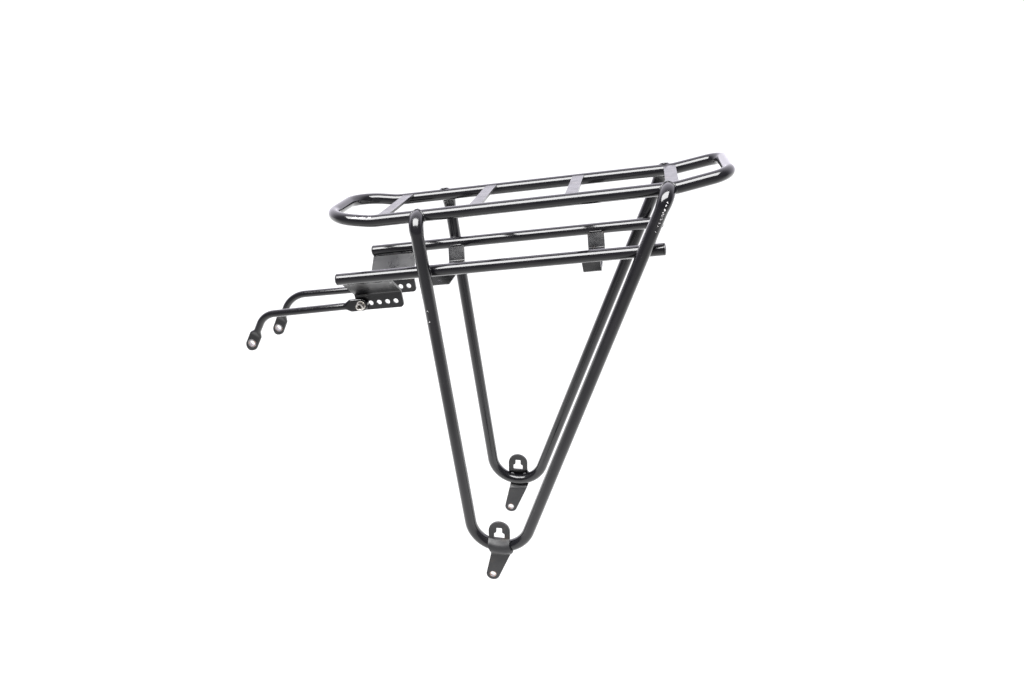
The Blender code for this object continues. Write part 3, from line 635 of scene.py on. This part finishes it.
def stainless(name):
    """Bright steel with grime in its pits, and painted shade in the socket round the pivot's axis.
    """
    look = Look(name)
    color = look.clouds(700, 4, (0.50, 0.48, 0.45, 1), (0.70, 0.68, 0.64, 1))
    grime = look.ramp(look.noise(380, 3), 0.52, 0.72)
    color = look.tint(color, grime, 0.55, (0.16, 0.11, 0.075, 1))
    # painted shade: near black colour and less metal round the pivot axis, where the bolt's socket
    # lies in shade
    socket_shade = look.ring(PIVOT, 2.0 * MM, 2.5 * MM)
    color = look.mix(socket_shade, color, (0.012, 0.010, 0.009, 1))
    # from here on, grime also carries the painted shade of the socket
    grime = look.math("MAXIMUM", grime, socket_shade)
    look.set(color=color, metallic=look.ramp(grime, 0.0, 1.0, 1.0, 0.6),
             roughness=look.ramp(look.noise(1500, 3), 0.3, 0.7, 0.20, 0.38))
    look.bump((look.noise(2600, 2), 0.006 * MM))
    return look.material


def plastic(name):
    look = Look(name)
    color = look.clouds(220, 4, (0.010, 0.010, 0.011, 1), (0.020, 0.020, 0.022, 1))
    scuff = look.ramp(look.noise(420, 3), 0.62, 0.74)
    color = look.tint(color, scuff, 0.4, (0.11, 0.11, 0.11, 1))
    look.set(color=color, roughness=look.ramp(look.noise(260, 3), 0.3, 0.7, 0.20, 0.36))
    look.bump((look.noise(1400, 2), 0.008 * MM), (scuff, 0.01 * MM))
    return look.material


# ---------------------------------------------------------------- placing pieces

def finish(obj, material, body, replaced=None, sharp_angle=40):
    obj.data.materials.clear()
    obj.data.materials.append(material)
    if not obj.modifiers:
        obj.data.shade_smooth()
        obj.data.set_sharp_from_angle(angle=radians(sharp_angle))
    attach(obj, body)
    if replaced:
        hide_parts(replaced)


# ---------------------------------------------------------------- tubes

def make_deck():
    chips = [(Vector(place) * MM, Vector(radii) * MM, 0.8) for place, radii in DECK_CHIPS]
    deck = tube("deck_tube", deck_path(), TUBE_RADIUS, closed=True)
    finish(deck, gloss_paint("deck_paint", chips, along=(0.02, 1, 1)), "carrier",
           "deck_loop")


def make_leg(name, side):
    path = resample(leg_path(side), 1.5 * MM)
    leg = tube(name + "_leg_tube", path, LEG_RADIUS, widen=leg_growth)
    boolean(leg, tube("deck_bore", deck_path(), TUBE_RADIUS, closed=True))
    shift = 0 if side == LEFT else RIGHT_RUB_SHIFT
    chips = []
    for height, size in LEG_RUBS:
        z = (height + shift) * MM
        spot = Vector((rear_leg_x(side, z) + 2.2 * MM, side * (leg_y(z) + 5.9 * MM), z))
        chips.append((spot, (size * MM, size * MM, 1.4 * size * MM), 0.56))
    for height, size in LEG_DOTS:
        z = height * MM
        spot = Vector((front_leg_x(side, z) - 2 * MM, side * (leg_y(z) + 6.1 * MM), z))
        chips.append((spot, (size * MM, size * MM, size * MM), 1.0))
    paint = gloss_paint(name + "_leg_paint", chips, along=(1, 1, 0.03), polish=(0.12, 0.22))
    finish(leg, paint, "carrier", name + "_leg")


def make_rail(name, side):
    inner = TUBE_RADIUS - 1.4 * MM
    edge = 0.3 * MM
    low, high = RAIL_BOX[name]
    length = high.x - low.x
    profile = [(TUBE_RADIUS, length - edge), (TUBE_RADIUS, edge), (TUBE_RADIUS - edge, 0),
               (inner, 0), (inner, length), (TUBE_RADIUS - edge, length)]
    place = place_by((low.x, side * RAIL_Y, RAIL_Z), (0, 1, 0), (0, 0, 1))
    rail = turned(name + "_rail_tube", profile, place, TUBE_SIDES, closed=True)
    paint = gloss_paint(name + "_rail_paint", along=(0.02, 1, 1))
    finish(rail, paint, "carrier", name + "_rail")


def make_plug(name, side, end):
    """A moulded plug: a domed head, a parting groove and a stem inside the tube."""
    node = f"{name}_{end}_rail_plug"
    low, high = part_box(node)
    forward = -1 if end == "front" else 1
    face = low.x if end == "front" else high.x
    seat = RAIL_BOX[name][end == "rear"].x
    head = abs(face - seat)
    crown = [(TUBE_RADIUS * sin(a), head - 1.6 * MM * (1 - cos(a)))
             for a in [radians(step) for step in range(4, 91, 8)]]
    stem = TUBE_RADIUS - 1.7 * MM
    profile = crown + [(TUBE_RADIUS, 0.25 * MM), (TUBE_RADIUS - 0.3 * MM, 0),
                       (stem, 0), (stem, -(high.x - low.x - head))]
    place = place_by((seat, side * RAIL_Y, RAIL_Z), (0, 1, 0), (0, 0, forward))
    plug = turned(node + "_cap", profile, place, 48)
    finish(plug, plastic(node + "_plastic"), "carrier", node)


# ---------------------------------------------------------------- sheet pieces

def make_strips():
    material = satin_paint("strip_paint", polish=(0.26, 0.36))
    for name in STRIP_NAMES:
        low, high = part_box(name)
        outline = [(low.x, low.y - 2 * MM), (high.x, low.y - 2 * MM),
                   (high.x, high.y + 2 * MM), (low.x, high.y + 2 * MM)]
        middle = (low.z + high.z) / 2
        strip = plate(name + "_bar", [outline], high.z - low.z, Matrix.Translation((0, 0, middle)))
        boolean(strip, tube("deck_bore", deck_path(), TUBE_RADIUS, closed=True))
        soften_edges(strip, 0.35 * MM)
        finish(strip, material, "carrier", name)


def make_bracket(name, side):
    lowest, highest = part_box(name + "_stay_bracket")
    front, rear, low = lowest.x, highest.x, lowest.z
    profile = sheet_profile([(side * BRACKET_TOP[0], BRACKET_TOP[1]),
                             (side * FLANGE_Y, FLANGE_TOP), (side * FLANGE_Y, low)],
                            BRACKET_BEND_RADIUS)
    bracket = plate(name + "_bracket_sheet", [profile], rear - front, end_view((front + rear) / 2))
    r = BRACKET_CORNER
    top = BRACKET_TOP[1] + 5 * MM
    outline = [(front - MM, top)] + arc((front + r, low + r), r, pi, 1.5 * pi, 12)
    outline += arc((rear - r, low + r), r, 1.5 * pi, 2 * pi, 12) + [(rear + MM, top)]
    holes = [circle((PIVOT.x + HOLE_PITCH * k, PIVOT.z), HOLE_RADIUS) for k in range(HOLE_COUNT)]
    middle = side * (FLANGE_Y + BRACKET_TOP[0]) / 2
    boolean(bracket, plate("bracket_outline", [outline] + holes, 40 * MM, side_view(middle)),
            "INTERSECT")
    ends = [Vector((x, side * RAIL_Y, RAIL_Z)) for x in (front - 5 * MM, rear + 5 * MM)]
    bore = tube("rail_bore", ends, TUBE_RADIUS)
    boolean(bracket, bore)
    soften_edges(bracket)
    grime = [(Vector((rear - 2 * MM, side * (BRACKET_TOP[0] - 6 * MM), 0.3545)),
              (0.003, 0.003, 0.003), 0.8)]
    paint = satin_paint(name + "_bracket_paint", grime, polish=(0.25, 0.38))
    finish(bracket, paint, "carrier", name + "_stay_bracket")


def make_strap(name):
    low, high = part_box(name)
    middle = low.x + STRAP_WIDTH / 2
    profile = sheet_profile([(-STRAP_TOP[0], STRAP_TOP[1]), (-STRAP_FLAT_Y, STRAP_Z),
                             (STRAP_FLAT_Y, STRAP_Z), (STRAP_TOP[0], STRAP_TOP[1])],
                            STRAP_BEND_RADIUS)
    strap = plate(name + "_sheet", [profile], STRAP_WIDTH, end_view(middle))
    if high.x - low.x > STRAP_WIDTH + MM:
        add_gusset(strap, middle, high.x)
    soften_edges(strap, 0.35 * MM)
    finish(strap, satin_paint(name + "_paint", specular=0.35), "carrier", name)


def add_gusset(strap, middle, rear):
    """Widen the strap's left wall towards the rear, with a slot and a small hole in it."""
    slope = Vector((0, STRAP_FLAT_Y - STRAP_TOP[0], STRAP_TOP[1] - STRAP_Z))
    inset = 0.3 * MM
    start = middle + STRAP_WIDTH / 2 - SHEET
    outline = [(start, inset), (middle + STRAP_WIDTH / 2, inset), (rear, slope.length * 0.72),
               (rear, slope.length - inset), (start, slope.length - inset)]
    place = place_by((0, -STRAP_FLAT_Y, STRAP_Z), (1, 0, 0), slope)
    boolean(strap, plate("gusset", [outline], SHEET - 0.2 * MM, place), "UNION")
    slot_height = 6.2 * MM
    slot_half = 1.8 * MM
    slot_radius = 1.3 * MM
    slot = arc((middle + slot_half, slot_height), slot_radius, -pi / 2, pi / 2, 12)
    slot += arc((middle - slot_half, slot_height), slot_radius, pi / 2, 1.5 * pi, 12)
    boolean(strap, plate("gusset_slot", [slot], 4 * SHEET, place))
    dot = circle((middle + 8.0 * MM, 8.6 * MM), 0.9 * MM, 24)
    boolean(strap, plate("gusset_dot", [dot], 4 * SHEET, place))


def leaning(points):
    """Upper tab points, given about the tab's centre, turned to its lean."""
    c, s = cos(TAB_LEAN), sin(TAB_LEAN)
    x0, z0 = TAB_CENTRE
    return [(x0 + c * u + s * v, z0 - s * u + c * v) for u, v in points]


def foot_outline():
    """Side view of a foot plate: a tapered tab below, a band, and a round tab above."""
    lower = arc((0, 0), FOOT_RADIUS, pi - FOOT_FRONT_LEAN, 2 * pi - FOOT_REAR_LEAN, 40)
    rear_x = lower[-1][0] + (FOOT_SHOULDER_Z - lower[-1][1]) * tan(FOOT_REAR_LEAN)
    front_x = lower[0][0] + (FOOT_SHOULDER_Z - lower[0][1]) * tan(FOOT_FRONT_LEAN)
    waist = TAB_CENTRE[1] - TAB_WAIST_Z
    upper = leaning([(TAB_HALF_WIDTH, -waist)] + arc((0, 0), TAB_HALF_WIDTH, 0, pi, 40)
                    + [(-TAB_HALF_WIDTH, -waist)])
    return lower + [(rear_x, FOOT_SHOULDER_Z)] + upper + [(front_x, FOOT_SHOULDER_Z)]


def keyhole_outline():
    neck, wide = 3.3 * MM, 6.0 * MM
    top, neck_low, wide_top, low = 4.6 * MM, -1.4 * MM, -3.2 * MM, -9.8 * MM
    right = [(neck, top), (neck, neck_low), (wide, wide_top), (wide, low)]
    corners = [(-u, v, 0) for u, v in right[::-1]] + [(u, v, 0) for u, v in right]
    rounded = rounded_path(corners, [0.8 * MM] * len(corners), closed=True)
    return leaning([(p.x, p.y) for p in rounded])


def foot_line(side, tube_centre):
    """Middle line of a foot plate's sheet, from its foot up, round the tube and up again."""
    radius = LEG_RADIUS + SHEET / 2 + 0.1 * MM
    centre = Vector((0, abs(tube_centre.y), tube_centre.z))
    low = Vector((0, EYELET_Y, -12 * MM))
    crease = Vector((0, EYELET_Y, LOWER_CREASE_Z))
    upper_crease = Vector((0, TAB_Y, max(UPPER_CREASE_Z, centre.z + radius + 1.8 * MM)))
    top = Vector((0, TAB_Y, 80 * MM))

    def touch(point, hand):
        """Angle at which a line from a point touches the sheet's circle round the tube."""
        away = centre - point
        heading = atan2(away.z, away.y) - hand * asin(radius / away.length)
        return heading - hand * pi / 2

    first = touch(crease, 1)
    last = touch(upper_crease, -1)
    steps = 16
    wrap = [centre + Vector((0, cos(a), sin(a))) * radius
            for a in [first + (last - first) * k / steps for k in range(steps + 1)]]
    line = [low] + fillet(low, crease, wrap[0], 2.5 * MM, 6) + wrap
    line += fillet(wrap[-1], upper_crease, top, 4 * MM, 6) + [top]
    return [Vector((tube_centre.x, side * p.y, p.z)) for p in line]


def u_bend(side, front, rear):
    """Points of a leg's centre line round its U-bend, from front to rear."""
    path = resample(leg_path(side), 0.8 * MM)
    reach = min(point.z for point in path) + 25 * MM
    bend = [point for point in path if front < point.x < rear and point.z < reach]
    return sorted(bend, key=lambda point: point.x)


def make_foot_plate(name, side):
    """One pressed sheet, bent round the outer half of the leg's U-bend."""
    bend = u_bend(side, -12 * MM, 36 * MM)
    highest = min(point.z for point in bend) + 3.4 * MM
    for point in bend:
        point.z = min(point.z, highest)
    mesh = bpy.data.meshes.new(name + "_foot_sheet")
    with editing(mesh) as shape:
        rows = [[shape.verts.new(p) for p in foot_line(side, centre)] for centre in bend]
        for first, second in zip(rows, rows[1:]):
            for k in range(len(first) - 1):
                shape.faces.new((first[k], first[k + 1], second[k + 1], second[k]))
    foot = new_object(name + "_foot_sheet", mesh)
    solid = foot.modifiers.new("sheet", "SOLIDIFY")
    solid.thickness = SHEET
    solid.offset = 0
    bake_modifiers(foot)
    with editing(foot.data) as shape:
        bmesh.ops.recalc_face_normals(shape, faces=shape.faces)
    holes = [circle((0, 0), EYELET_RADIUS), keyhole_outline()]
    boolean(foot, plate("foot_outline", [foot_outline()] + holes, 60 * MM, side_view(side * TAB_Y)),
            "INTERSECT")
    soften_edges(foot, 0.4 * MM)
    rings = [(Vector((0, 0, 0)), EYELET_RADIUS + 0.4 * MM, EYELET_RADIUS + 1.0 * MM)]
    paint = satin_paint(name + "_foot_paint", rings=rings, polish=(0.44, 0.58), specular=0.42)
    finish(foot, paint, "carrier", name + "_foot_plate")


# ---------------------------------------------------------------- welds

def weld(name, points, radius, closed=False):
    """A rippled bead of weld along a path, painted over."""
    spacing = 0.4 * MM
    ripple = 1.7 * MM
    points = resample(points, spacing, closed)
    count = len(points)
    radii = []
    for index, point in enumerate(points):
        run = index * spacing
        wave = abs(sin(pi * run / ripple))
        lump = noise.noise(point * 260)
        size = radius * (0.90 + 0.14 * wave + 0.20 * lump)
        if not closed:
            to_end = min(index, count - 1 - index) * spacing
            size *= sqrt(1 - (1 - min((to_end + 0.1 * MM) / radius, 1.0)) ** 2)
        radii.append(size)
    bead = tube(name, points, radii, 16, closed)
    finish(bead, WELD_PAINT, "carrier", sharp_angle=80)


def meeting_line(path, radius, hidden):
    """Where a tube's skin first comes out of another piece, walking along its path."""
    points = resample(path, 0.25 * MM)[:240]
    axes = path_axes(points, False)
    line = []
    for k in range(48):
        angle = 2 * pi * k / 48
        for point, (_, side, up) in zip(points, axes):
            offset = (side * cos(angle) + up * sin(angle)) * radius
            skin_point = point + wider(offset, leg_growth(point))
            if not hidden(skin_point):
                break
        line.append(skin_point)
    return line


def make_leg_welds(name, side):
    path = leg_path(side)
    for end, route in (("front", path), ("rear", path[::-1])):
        deck_y = abs(route[0].y)

        def inside_deck(point):
            return hypot(abs(point.y) - deck_y, point.z - DECK_Z) < TUBE_RADIUS + 0.3 * MM

        line = meeting_line(route, LEG_RADIUS - 0.1 * MM, inside_deck)
        weld(f"{name}_{end}_leg_weld", line, 1.1 * MM, closed=True)


def make_rail_welds(name, side):
    """A ring of weld where each leg crosses the outer side of its rail."""
    reach = 4.3 * MM
    y_leg = leg_y(RAIL_Z)
    for end, x in (("front", front_leg_x(side, RAIL_Z)), ("rear", rear_leg_x(side, RAIL_Z))):
        line = []
        for k in range(40):
            angle = 2 * pi * k / 40
            u, v = reach * cos(angle), reach * sin(angle)
            on_rail = RAIL_Y + sqrt(TUBE_RADIUS ** 2 - v * v)
            on_leg = y_leg - sqrt(LEG_RADIUS ** 2 - u * u)
            line.append(Vector((x + u, side * (on_rail + on_leg) / 2, RAIL_Z + v)))
        weld(f"{name}_{end}_rail_weld", line, 1.7 * MM, closed=True)


def touch_rail(start, direction):
    """Where a line in Y and Z, seen along X, first meets the right rail's skin."""
    away = Vector((start[0] - RAIL_Y, start[1] - RAIL_Z))
    along = Vector(direction).normalized()
    middle = -away.dot(along)
    miss = away.length_squared - middle * middle
    run = middle - sqrt(TUBE_RADIUS ** 2 - miss)
    return start[0] + along.x * run, start[1] + along.y * run


def make_seam(name, side, low, high, x_range, radius):
    """Beads on both faces of a sheet whose middle line runs from low to high under a rail."""
    along = Vector((high[0] - low[0], high[1] - low[1])).normalized()
    across = Vector((-along.y, along.x)) * SHEET / 2
    for face, hand in (("upper", 1), ("lower", -1)):
        start = (low[0] + across.x * hand, low[1] + across.y * hand)
        y, z = touch_rail(start, along)
        line = []
        steps = 24
        for k in range(steps + 1):
            x = x_range[0] + (x_range[1] - x_range[0]) * k / steps
            sway = 0.35 * MM * sin(x * 420 + hand)
            line.append(Vector((x, side * (y + sway * along.y), z - sway * along.x)))
        weld(f"{name}_{face}_weld", line, radius)


def make_sheet_welds(name, side):
    margin = 2 * MM
    low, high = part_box(name + "_stay_bracket")
    make_seam(f"{name}_bracket", side, (FLANGE_Y, FLANGE_TOP), BRACKET_TOP,
              (low.x + margin, high.x - margin), 1.2 * MM)
    for strap in ("front", "rear"):
        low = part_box(strap + "_cross_strap")[0].x
        make_seam(f"{name}_{strap}_strap", side, (STRAP_FLAT_Y, STRAP_Z), STRAP_TOP,
                  (low + margin, low + STRAP_WIDTH - margin), 1.1 * MM)


def make_strip_welds():
    """A short bead under each end of each deck strip."""
    for name in STRIP_NAMES:
        low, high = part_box(name)
        x = (low.x + high.x) / 2
        half = (high.x - low.x) / 2 - 1.2 * MM
        drop = low.z - DECK_Z
        y = deck_half_width(x) - sqrt(TUBE_RADIUS ** 2 - drop * drop)
        for side_name, side in SIDES.items():
            line = [Vector((x + half * k, side * (y + 0.2 * MM), low.z - 0.1 * MM)) for k in (-1, 1)]
            weld(f"{name}_{side_name}_weld", line, 1.0 * MM)


def make_foot_tacks(name, side):
    """Tack welds on the inboard side, where the foot plate's sheet leaves the tube."""
    spots = (("upper_front", 5.5, 11.0, 86), ("upper_rear", 20.5, 26.5, 86),
             ("lower_front", 7.0, 13.0, -78), ("lower_rear", 20.5, 27.0, -78))
    for spot, start, end, angle in spots:
        out = Vector((0, side * cos(radians(angle)), sin(radians(angle))))
        bend = u_bend(side, start * MM, end * MM)
        line = [point + out * (LEG_RADIUS + 0.3 * MM) for point in bend]
        weld(f"{name}_foot_{spot}_tack", line, 1.7 * MM)


# ---------------------------------------------------------------- stays

def stay_flatness(from_end, flat_length):
    """1 on a flattened end, 0 on the round tube, and a smooth ramp between."""
    ramp = min(max((from_end - flat_length) / STAY_TAPER, 0.0), 1.0)
    return 1 - ramp * ramp * (3 - 2 * ramp)


def stay_section(flat, narrow):
    """Cross-section, as (height, depth): a circle where flat is 0, a slot shape where 1."""
    radius = STAY_RADIUS + (STAY_FLAT / 2 - STAY_RADIUS) * flat
    straight = (STAY_END_RADIUS - STAY_FLAT / 2) * flat
    points = []
    for k in range(STAY_SIDES):
        angle = 2 * pi * (k + 0.5) / STAY_SIDES
        height = straight * (1 if cos(angle) > 0 else -1) + radius * cos(angle)
        points.append((height * narrow, radius * sin(angle)))
    return points


def make_stay(name):
    body = name + "_stay_arm"
    pivot = PIVOTS[body]
    slope, angle = STAY_SLOPE[name], STAY_DROP_ANGLE[name]
    along = Vector((-cos(slope), 0, -sin(slope)))
    drop = Vector((-cos(angle), 0, -sin(angle)))
    corner = pivot + along * (pivot.x - STAY_CORNER_X[name]) / cos(slope)
    start = pivot - along * STAY_END_RADIUS
    tip = corner + drop * STAY_TIP_HOLE_RUN[name]
    end = tip + drop * STAY_TIP_LENGTH
    path = resample(rounded_path([start, corner, end], [0, STAY_BEND_RADIUS[name], 0]), 0.9 * MM)
    spacing = (path[1] - path[0]).length
    length = spacing * (len(path) - 1)
    rings = []
    for index, (point, (direction, _, _)) in enumerate(zip(path, path_axes(path, False))):
        run = index * spacing
        to_end = min(run, length - run) + 0.15 * MM
        inside = 1 - min(to_end, STAY_END_RADIUS) / STAY_END_RADIUS
        flat = max(stay_flatness(run, STAY_PIVOT_FLAT), stay_flatness(length - run, STAY_TIP_FLAT))
        up = Vector((0, 1, 0)).cross(direction)
        rings.append([point + up * height + Vector((0, depth, 0))
                      for height, depth in stay_section(flat, sqrt(1 - inside * inside))])
    stay = skin(name + "_stay_bar", rings)
    across = Vector((0, 2 * STAY_RADIUS, 0))
    for hole, radius in ((pivot, BOLT_RADIUS + 0.3 * MM), (tip, STAY_TIP_HOLE_RADIUS)):
        boolean(stay, tube("stay_hole", [hole - across, hole + across], radius, 48))
    rings_worn = [(tip, STAY_TIP_HOLE_RADIUS + 1.2 * MM, STAY_TIP_HOLE_RADIUS + 1.8 * MM)]
    paint = gloss_paint(name + "_stay_paint", rings=rings_worn, along=(0.02, 1, 1))
    finish(stay, paint, body, name + "_stay")


# ---------------------------------------------------------------- pivot fasteners

def hexagon(apothem, limit=1.0):
    """Radius of a hexagon at an angle, with its corners turned down to a limit."""
    def radius(angle):
        return min(apothem / cos((angle % (pi / 3)) - pi / 6), limit)
    return radius


def outboard(name, side, y):
    """Axes of a turned piece on a stay's pivot, its local +Z pointing outboard."""
    pivot = PIVOTS[name + "_stay_arm"]
    return place_by((pivot.x, y, pivot.z), (1, 0, 0), (0, 0, -side))


def make_bolt(name, side, material):
    low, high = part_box(name + "_pivot_bolt")
    reach = high.y - low.y
    head_face = high.y if side > 0 else low.y
    radius = (high.x - low.x) / 2
    height = 5.0 * MM
    socket = 2.35 * MM
    shank = reach - height
    notches = 30
    teeth = 0.09 * MM

    def knurl(angle):
        return radius - teeth + teeth * cos(notches * angle)

    profile = [(hexagon(socket), -2.6 * MM), (hexagon(socket), -0.25 * MM), (socket * 1.2, 0),
               (radius - 0.7 * MM, 0), (radius - 0.25 * MM, -0.2 * MM),
               (radius - teeth, -0.6 * MM), (knurl, -0.8 * MM), (knurl, -height + 0.3 * MM),
               (radius - teeth, -height + 0.15 * MM), (radius - 0.3 * MM, -height),
               (BOLT_RADIUS, -height)]
    turns = 9
    pitch = 0.8 * MM
    groove = 0.22 * MM
    start = -height - shank + turns * pitch
    for turn in range(turns):
        z = start - turn * pitch
        profile += [(BOLT_RADIUS, z), (BOLT_RADIUS, z - 0.2 * pitch),
                    (BOLT_RADIUS - groove, z - 0.5 * pitch)]
    profile += [(BOLT_RADIUS - 0.4 * MM, -height - shank)]
    bolt = turned(name + "_socket_screw", profile, outboard(name, side, head_face), 180)
    finish(bolt, material, "carrier", name + "_pivot_bolt", 30)


def make_washer(name, side, material):
    low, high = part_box(name + "_pivot_washer")
    thickness = high.y - low.y
    inner = BOLT_RADIUS + 0.15 * MM
    outer = (high.x - low.x) / 2
    edge = 0.15 * MM
    profile = [(inner, 0), (inner, thickness), (outer - edge, thickness),
               (outer, thickness - edge), (outer, edge), (outer - edge, 0)]
    place = outboard(name, side, low.y if side > 0 else high.y)
    washer = turned(name + "_plain_washer", profile, place, 72, closed=True)
    finish(washer, material, "carrier", name + "_pivot_washer", 30)


def make_nut(name, side, material):
    low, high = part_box(name + "_pivot_nut")
    thickness = high.y - low.y
    apothem = (high.z - low.z) / 2
    corner = (high.x - low.x) / 2
    bore = BOLT_RADIUS + 0.05 * MM
    edge = 0.5 * MM
    profile = [(bore, 0.3 * MM), (bore, thickness - 0.3 * MM), (bore + 0.3 * MM, thickness),
               (hexagon(apothem, apothem), thickness),
               (hexagon(apothem, corner), thickness - edge), (hexagon(apothem, corner), edge),
               (hexagon(apothem, apothem), 0), (bore + 0.3 * MM, 0)]
    place = outboard(name, side, low.y if side > 0 else high.y)
    nut = turned(name + "_hexagon_nut", profile, place, 120, closed=True)
    finish(nut, material, "carrier", name + "_pivot_nut", 30)


# ---------------------------------------------------------------- studio

FLOOR_TILT = radians(7.8)
FLOOR_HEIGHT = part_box("right_foot_plate")[0].z
SOFTBOX_PLACE = (0.05, -0.72, 1.68)
SOFTBOX_TARGET = (0.05, -0.05, 0.35)
SOFTBOX_SIZE = (1.8, 1.05)
SOFTBOX_RADIANCE = 20


def make_floor():
    """A pale floor under the feet: even white to the eye, a graded glow to the metal."""
    mesh = bpy.data.meshes.new("floor")
    with editing(mesh) as shape:
        bmesh.ops.create_grid(shape, x_segments=8, y_segments=8, size=4.0)
    floor = new_object("floor", mesh)
    floor.location = (0, 0, FLOOR_HEIGHT - 0.5 * MM)
    floor.rotation_euler = (0, FLOOR_TILT, 0)
    look = Look("floor_paper")
    look.set(color=look.clouds(3, 2, (0.085, 0.085, 0.085, 1), (0.095, 0.095, 0.095, 1)),
             roughness=look.ramp(look.noise(60, 3), 0.3, 0.7, 0.75, 0.85), specular=0.1)
    apart = look.node("SeparateXYZ", {0: look.place})
    glow = look.ramp(apart.outputs["Y"], -0.6, 0.2, 0.5, 2.2)
    seen = look.node("LightPath", {}).outputs["Is Camera Ray"]
    look.feed(look.shader.inputs["Emission Strength"], look.blend(seen, glow, 1.0))
    look.feed(look.shader.inputs["Emission Color"], (1, 1, 1, 1))
    mesh.materials.append(look.material)


def make_softbox():
    width, depth = SOFTBOX_SIZE
    data = bpy.data.lights.new("overhead_softbox", "AREA")
    data.shape = "RECTANGLE"
    data.size = width
    data.size_y = depth
    data.energy = SOFTBOX_RADIANCE * pi * width * depth
    lamp = new_object("overhead_softbox", data)
    lamp.location = SOFTBOX_PLACE
    away = Vector(SOFTBOX_PLACE) - Vector(SOFTBOX_TARGET)
    lamp.rotation_euler = away.to_track_quat("Z", "Y").to_euler()
    lamp.visible_camera = False


def make_world():
    """A room with a bright wall behind the object, white where the camera sees it."""
    world = bpy.data.worlds.new("studio")
    bpy.context.scene.world = world
    world.use_nodes = True
    nodes = Nodes(world.node_tree)
    direction = nodes.node("TexCoord", {}).outputs["Generated"]
    apart = nodes.node("SeparateXYZ", {0: direction})
    wall = nodes.node("MapRange", {
        "Value": apart.outputs["Y"], "From Min": -0.3, "From Max": 0.5,
        "To Min": 0.30, "To Max": 2.4}, interpolation_type="SMOOTHSTEP")
    room = nodes.node("Background", {"Color": (0.93, 0.90, 1.0, 1), "Strength": wall.outputs[0]})
    white = nodes.node("Background", {"Color": (1, 1, 1, 1), "Strength": 1.05})
    seen = nodes.node("LightPath", {}).outputs["Is Camera Ray"]
    mix = nodes.node("MixShader", {0: seen, 1: room.outputs[0], 2: white.outputs[0]})
    nodes.feed(nodes.tree.nodes["World Output"].inputs["Surface"], mix.outputs[0])


CAMERA_PLACE = (0.21497, -0.75595, 0.57210)
CAMERA_AZIMUTH = radians(12.347)
CAMERA_ELEVATION = radians(21.918)
CAMERA_ROLL = radians(-8.795)


def make_camera():
    data = bpy.data.cameras.new("camera")
    data.sensor_width = 36
    data.lens = 26.707
    data.clip_start = 0.01
    data.clip_end = 50
    camera = new_object("camera", data)
    turn = (Matrix.Rotation(CAMERA_AZIMUTH, 4, "Z")
            @ Matrix.Rotation(pi / 2 - CAMERA_ELEVATION, 4, "X")
            @ Matrix.Rotation(CAMERA_ROLL, 4, "Z"))
    camera.matrix_world = Matrix.Translation(CAMERA_PLACE) @ turn
    bpy.context.scene.camera = camera


# ---------------------------------------------------------------- build

make_camera()
make_world()
make_floor()
make_softbox()
bpy.context.scene.view_settings.view_transform = "Standard"

WELD_PAINT = gloss_paint("weld_paint")
STAINLESS = stainless("stainless_steel")

make_deck()
make_strips()
make_strip_welds()
for side_name, side_sign in SIDES.items():
    make_leg(side_name, side_sign)
    make_leg_welds(side_name, side_sign)
    make_rail(side_name, side_sign)
    make_rail_welds(side_name, side_sign)
    make_plug(side_name, side_sign, "front")
    make_plug(side_name, side_sign, "rear")
    make_bracket(side_name, side_sign)
    make_sheet_welds(side_name, side_sign)
    make_foot_plate(side_name, side_sign)
    make_foot_tacks(side_name, side_sign)
    make_stay(side_name)
    make_bolt(side_name, side_sign, STAINLESS)
    make_washer(side_name, side_sign, STAINLESS)
    make_nut(side_name, side_sign, STAINLESS)
make_strap("front_cross_strap")
make_strap("rear_cross_strap")
